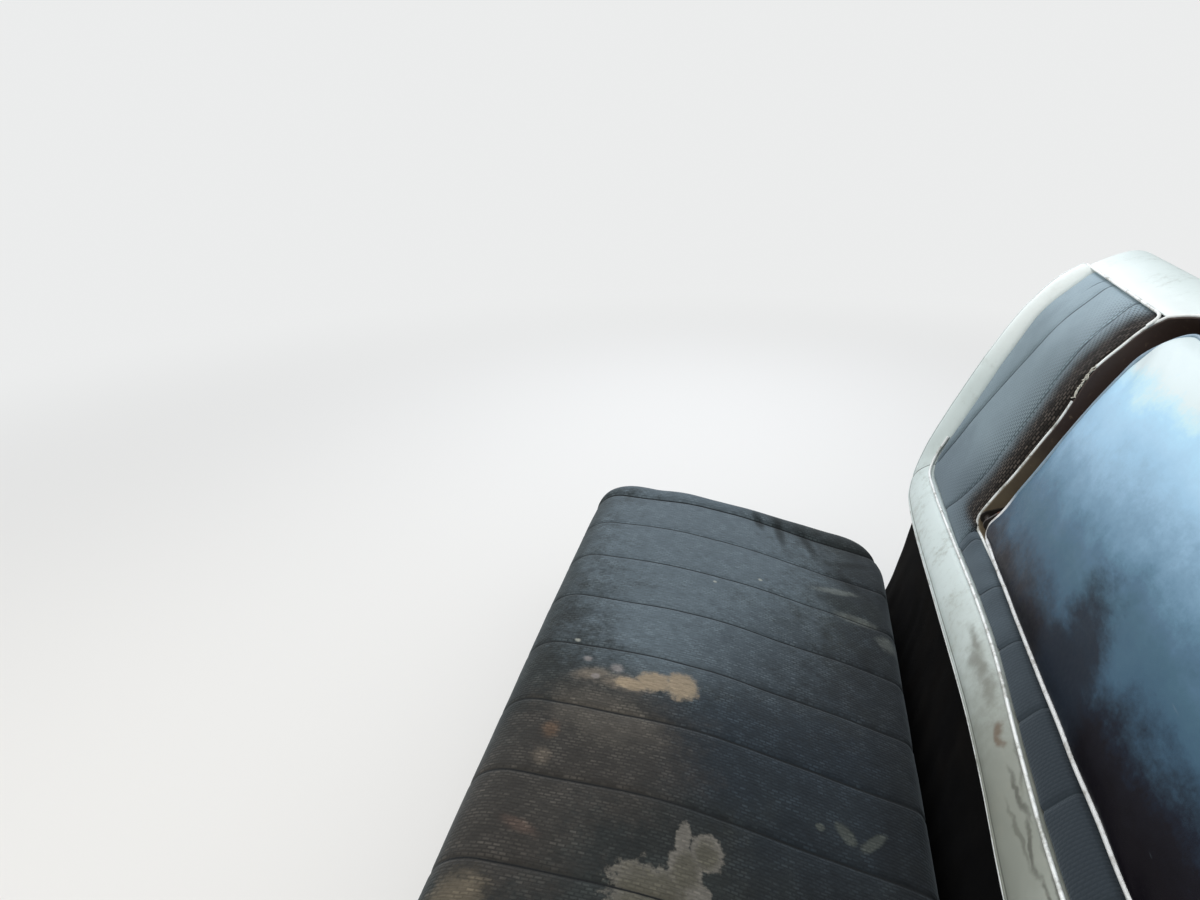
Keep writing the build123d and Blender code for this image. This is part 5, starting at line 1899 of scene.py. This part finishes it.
def spring_tree():
    tree = bpy.data.node_groups.new("zigzag_springs", "GeometryNodeTree")
    face = tree.interface
    face.new_socket("Geometry", in_out="INPUT", socket_type="NodeSocketGeometry")
    for name in ("Bars", "Bar Pitch", "Half Width", "Wire Radius", "Tilt"):
        face.new_socket(name, in_out="INPUT", socket_type="NodeSocketFloat")
    face.new_socket("Material", in_out="INPUT", socket_type="NodeSocketMaterial")
    face.new_socket("Geometry", in_out="OUTPUT", socket_type="NodeSocketGeometry")
    source = add(tree, "NodeGroupInput").outputs
    steps = maths(tree, "MULTIPLY", source["Bars"], 20.0)
    line = add(tree, "GeometryNodeMeshLine", Count=steps)
    index = add(tree, "GeometryNodeInputIndex")
    share = maths(tree, "DIVIDE", index, steps)
    span = maths(tree, "SUBTRACT", source["Bars"], 0.46)
    half_turns = maths(tree, "MULTIPLY", share, span)
    shifted = maths(tree, "ADD", half_turns, 0.23)
    angle = maths(tree, "MULTIPLY", shifted, pi)
    swing = maths(tree, "COSINE", angle)
    x = maths(tree, "MULTIPLY", swing, source["Half Width"])
    twice = maths(tree, "MULTIPLY", angle, 2.0)
    ripple = maths(tree, "SINE", twice)
    ahead = maths(tree, "MULTIPLY_ADD", ripple, 0.5, angle)
    turns = maths(tree, "MULTIPLY_ADD", ahead, 1 / pi, -0.5)
    y = maths(tree, "MULTIPLY", turns, source["Bar Pitch"])
    spot = add(tree, "ShaderNodeCombineXYZ", X=x, Y=y, Z=source["Wire Radius"])
    bent = add(tree, "GeometryNodeSetPosition", Geometry=line, Position=spot)
    curve = add(tree, "GeometryNodeMeshToCurve", Mesh=bent)
    ring = add(tree, "GeometryNodeCurvePrimitiveCircle", Resolution=8, Radius=source["Wire Radius"])
    wire = add(tree, "GeometryNodeCurveToMesh", Curve=curve, Profile_Curve=ring, Fill_Caps=True)
    turn = add(tree, "ShaderNodeCombineXYZ", X=source["Tilt"])
    spots = source["Geometry"]
    copies = add(tree, "GeometryNodeInstanceOnPoints", Points=spots, Instance=wire, Rotation=turn)
    real = add(tree, "GeometryNodeRealizeInstances", Geometry=copies)
    soft = add(tree, "GeometryNodeSetShadeSmooth", Geometry=real)
    done = add(tree, "GeometryNodeSetMaterial", Geometry=soft, Material=source["Material"])
    end = add(tree, "NodeGroupOutput")
    tree.links.new(done.outputs[0], end.inputs[0])
    return tree


def run_tree(name, tree, points, settings, body):
    """Runs a tree on a carrier of bare points and keeps the result as a plain mesh."""
    carrier = bpy.data.meshes.new(name)
    carrier.from_pydata([tuple(p) for p in points], [], [])
    piece = bpy.data.objects.new(name, carrier)
    bpy.context.scene.collection.objects.link(piece)
    nodes = piece.modifiers.new("maker", "NODES")
    nodes.node_group = tree
    for item in tree.interface.items_tree:
        if item.in_out == "INPUT" and item.name in settings:
            nodes[item.identifier] = settings[item.name]
    settle(piece)
    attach(piece, body)
    return piece


SPRINGS = spring_tree()
print("spring tree has", len(SPRINGS.nodes), "nodes")

# %% Springs of the cushion and the back
SPRING_SEAT, SPRING_FLANGE = 6.0, 18.0
STRIPS, EDGE_STRIP = 10, 92.0
slope = atan2(RAIL_REAR - RAIL_FRONT, rail_rear_y - rail_front_y)
strip_inset = SPRING_FLANGE - SPRING_SEAT
deck_length = hypot(rail_rear_y - rail_front_y, RAIL_REAR - RAIL_FRONT) - 2 * strip_inset
strip_pitch = 2 * (FRAME_HALF - EDGE_STRIP) / (STRIPS - 1)
strip_start = rail_front_y + strip_inset


def spring_settings(length, tilt):
    bars = int(length // BAR_PITCH) + 1
    pitch = (length - WIRE) / (bars - 1)
    return {
        "Bars": float(bars), "Bar Pitch": pitch * MM, "Half Width": (SPRING_WIDTH - WIRE) / 2 * MM,
        "Wire Radius": WIRE / 2 * MM, "Tilt": tilt, "Material": SPRING_WIRE,
    }


deck_places = [(k - (STRIPS - 1) / 2) * strip_pitch for k in range(STRIPS)]
deck_points = [Vector((x, strip_start + WIRE / 2, rail_top(strip_start))) * MM for x in deck_places]
deck_settings = spring_settings(deck_length, slope)
deck = run_tree("spring_deck", SPRINGS, deck_points, deck_settings, "seat")
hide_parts("cushion_springs")

BOTTOM_RAIL, TOP_RAIL, SPRING_REAR = 15.0, 460.0, 96.0
BACK_STRIPS, SIDE_GAP, TUBE = 3, 18.0, 8.0
first_strip = OPENING_HALF + LINING + SIDE_GAP + SPRING_WIDTH / 2
last_strip = HALF_FOOT - BORDER_SIDE / 2 - TUBE - SIDE_GAP - SPRING_WIDTH / 2
back_places = [first_strip + (last_strip - first_strip) * k / (BACK_STRIPS - 1) for k in range(BACK_STRIPS)]
back_settings = spring_settings(TOP_RAIL - BOTTOM_RAIL, pi / 2 - LEAN)
for side, mirror in (("left", 1), ("right", -1)):
    starts = [back(mirror * x, BOTTOM_RAIL + WIRE / 2, -SPRING_REAR) for x in back_places]
    strips = run_tree(f"back_zigzags_{side}", SPRINGS, starts, back_settings, "seat")
    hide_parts(f"back_springs_{side}")
print("deck faces:", len(deck.data.polygons))

# %% [markdown]
# ## Hessian and skirt
# The hessian is stretched over the springs to keep the padding out of them, and it has sunk a little
# between the strips. The skirt behind the cushion is a black cotton sheet sewn under the border and
# hooked on the wire at the floor. Thin sheets are a grid with a Solidify modifier on it.

# %% Sheets of cloth
def cloth_sheet(name, grid, thick, material, body):
    """A sheet from a grid of points in metres, with its UV map in metres, and a real thickness."""
    columns, rows = len(grid), len(grid[0])
    points = [p for line in grid for p in line]
    flat, across = [], 0.0
    for i, line in enumerate(grid):
        across += (line[0] - grid[i - 1][0]).length if i else 0.0
        up = 0.0
        for j, point in enumerate(line):
            up += (point - line[j - 1]).length if j else 0.0
            flat.append((across, up))
    piece = build(name, points, quads(columns, rows), material, flat)
    wall = piece.modifiers.new("thickness", "SOLIDIFY")
    wall.thickness = thick * MM
    wall.offset = 0.0
    settle(piece)
    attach(piece, body)
    return piece


def between(low, high, step):
    """Evenly spaced values with about that step, both ends included."""
    count = max(1, round(abs(high - low) / step))
    return [low + (high - low) * k / count for k in range(count + 1)]


def strip_sink(x, places, depth):
    """How far a sheet hangs between spring strips at x."""
    near = min(abs(x - place) for place in places)
    return depth * min(1.0, max(0.0, (near - SPRING_WIDTH / 2) / 25.0))


HESSIAN_SHEET, HESSIAN_ROWS = 1.2, 36
hessian_plan = Plan(FRAME_HALF, rail_front_y, rail_rear_y, FRAME_FRONT_CORNER, FRAME_REAR_CORNER)
hessian_grid = []
for x in between(-FRAME_HALF + 1, FRAME_HALF - 1, 13.0):
    low, high = hessian_plan.span(x)
    line = []
    for k in range(HESSIAN_ROWS):
        y = low + 1 + (high - low - 2) * k / (HESSIAN_ROWS - 1)
        edge = min(y - low, high - y, FRAME_HALF - abs(x))
        hang = strip_sink(x, deck_places, 4.0) * min(1.0, edge / 45.0)
        line.append(Vector((x, y, rail_top(y) + WIRE + HESSIAN_SHEET - hang)) * MM)
    hessian_grid.append(line)
deck_cloth = cloth_sheet("cushion_hessian_sheet", hessian_grid, HESSIAN_SHEET, HESSIAN, "seat")
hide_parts("cushion_hessian")
print("hessian faces:", len(deck_cloth.data.polygons))

# %% Hessian behind the back
HESSIAN_INSET, HESSIAN_CORNER = 8.0, 40.0
for side, mirror in (("left", 1), ("right", -1)):
    grid = []
    for t in between(0.0, 1.0, 0.035):
        line = []
        for s in between(3.0, BACK_TOP - 2.0, 14.0):
            outer = side_x(s) - HESSIAN_INSET - max(0.0, HESSIAN_CORNER - s) ** 2 / HESSIAN_CORNER
            x = OPENING_HALF + LINING + (outer - OPENING_HALF - LINING) * t
            hang = strip_sink(x, back_places, 3.0) * sin(pi * t)
            line.append(back(mirror * x, s, -PAD_DEPTH - 1.0 - hang))
        grid.append(line)
    grid = grid if mirror < 0 else grid[::-1]
    sheet = cloth_sheet(f"back_hessian_sheet_{side}", grid, HESSIAN_SHEET, HESSIAN, "seat")
    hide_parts(f"back_hessian_{side}")
print("hessian sheets made")

# %% Skirt
SKIRT_HALF = HALF_FOOT - 50.0
wire_low, wire_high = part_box("skirt_wire")
WIRE_Y, WIRE_TOP = (wire_low.y + wire_high.y) / 2 / MM, wire_high.z / MM
HEM_Y = BACK_Y + 13.0 * cos(LEAN)
HEM_Z = BACK_Z - (HEM_Y - BACK_Y) * tan(LEAN)


def skirt_grid():
    grid = []
    for x in between(-SKIRT_HALF, SKIRT_HALF, 11.0):
        line = []
        for t in between(0.0, 1.0, 0.05):
            fold = lumps(x, 120 * t, 34.0, 3.4, 3.0) * sin(pi * min(1.0, t * 1.1)) + 5.0 * sin(pi * t)
            y = WIRE_Y + (HEM_Y - WIRE_Y) * t + fold
            z = WIRE_TOP - 1.0 + (HEM_Z - 1.0 - WIRE_TOP + 1.0) * t
            line.append(Vector((x, y, z)) * MM)
        grid.append(line)
    return grid


skirt = cloth_sheet("skirt_sheet", skirt_grid()[::-1], 1.0, BLACK_COTTON, "seat")
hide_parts("back_skirt")
print("skirt faces:", len(skirt.data.polygons))

# %% [markdown]
# ## Finishes for the steel and wooden parts
# The rails, tubes, plates, hinges and boards keep their own exact meshes. They only need their
# material, so one table joins the start of a node's name to its finish.

# %% Give the nodes their finish
NODE_FINISH = {
    "cushion_rail": ENAMEL, "cushion_cross": ENAMEL, "back_side_rail": ENAMEL, "back_top_rail": ENAMEL,
    "back_bottom_rail": ENAMEL, "back_post": ENAMEL, "back_foot": ENAMEL, "floor_plate": ENAMEL,
    "back_hanger": ENAMEL, "skirt_wire": SPRING_WIRE, "armrest_hinge": PLATING, "hinge_bracket": PLATING,
    "recess_lining": TAN_LINING, "recess_board": FIBRE_BOARD, "back_apron": FIBRE_BOARD,
}
for name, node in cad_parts.items():
    for start, material in NODE_FINISH.items():
        if name.startswith(start):
            node.data.materials.clear()
            node.data.materials.append(material)
print("nodes finished:", sum(any(n.startswith(s) for s in NODE_FINISH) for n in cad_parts))

# %% [markdown]
# ## Floor and light
# A plain pale floor and three large soft lamps, as in a photographer's studio. The world is pale only
# for rays from the camera, from glossy surfaces and through glass, so the background is bright
# without adding light to the seat. For the same rays the floor fades into that background with the
# distance, so there is no horizon, and near the seat it keeps the shadow.

# %% Floor and world
PALE, PALE_STRENGTH = "f2f3f3", 0.94
FADE_FROM, FADE_TO = 1.1, 3.4


def seen_rays(tree):
    """1 for rays from the camera, a glossy surface or glass."""
    rays = add(tree, "ShaderNodeLightPath").outputs
    seen = maths(tree, "MAXIMUM", rays["Is Camera Ray"], rays["Is Glossy Ray"])
    return maths(tree, "MAXIMUM", seen, rays["Is Transmission Ray"])


def pale_floor():
    """Matt floor that turns into the background's own light far from the seat."""
    material, tree, shader, place = finish("studio_floor_matt")
    plug(shader, "Base Color", tone("e4e3e0"))
    plug(shader, "Roughness", 0.9)
    away = vectors(tree, "LENGTH", place)
    fade = smooth_step(tree, away, FADE_FROM, FADE_TO)
    fade = maths(tree, "MULTIPLY", fade, seen_rays(tree))
    glow = add(tree, "ShaderNodeEmission", Color=tone(PALE), Strength=PALE_STRENGTH)
    mixed = add(tree, "ShaderNodeMixShader", Fac=fade, Shader=[shader, glow])
    plug(tree.nodes["Material Output"], "Surface", mixed)
    return material


floor = build("floor", [(-9, -9, 0), (9, -9, 0), (9, 9, 0), (-9, 9, 0)], [(0, 1, 2, 3)], pale_floor())
floor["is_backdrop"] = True

world = bpy.data.worlds.new("studio")
world.use_nodes = True
bpy.context.scene.world = world
background = world.node_tree.nodes["Background"]
strength = add(world.node_tree, RANGE, Value=seen_rays(world.node_tree), To_Min=0.45, To_Max=PALE_STRENGTH)
plug(background, "Color", tone(PALE))
plug(background, "Strength", strength)
print("floor and world ready")

# %% Lamps
LAMPS = [
    ("window_far", (-2.4, -0.6, 1.9), (-0.2, -0.2, 0.3), 1.8, 34.0, "eef4ff"),
    ("overhead", (0.3, -1.0, 3.0), (0.0, -0.2, 0.2), 2.2, 44.0, "ffffff"),
    ("near_front", (1.6, -2.4, 1.6), (0.1, 0.0, 0.4), 1.6, 16.0, "fff7ee"),
]
for name, spot, aim, size, power, code in LAMPS:
    lamp = bpy.data.lights.new(name, "AREA")
    lamp.shape = "DISK"
    lamp.size = size
    lamp.energy = power
    lamp.color = tone(code)[:3]
    holder = bpy.data.objects.new(name, lamp)
    holder.location = spot
    holder.rotation_euler = (Vector(aim) - Vector(spot)).to_track_quat("-Z", "Y").to_euler()
    bpy.context.scene.collection.objects.link(holder)
bpy.context.scene.view_settings.view_transform = "Standard"
print("lamps:", [row[0] for row in LAMPS])

# %% [markdown]
# ## Finish
# The box of the dressed seat is measured and set beside the box of the bare frame. Cloth may stand
# only a little proud of it.

# %% The boxes of the dressed seat
visual_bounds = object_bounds()
{name: [list(corner) for corner in box] for name, box in (("cad", cad_bounds), ("visual", visual_bounds))}
print("box of the dressed seat:", [[round(v, 3) for v in corner] for corner in visual_bounds])
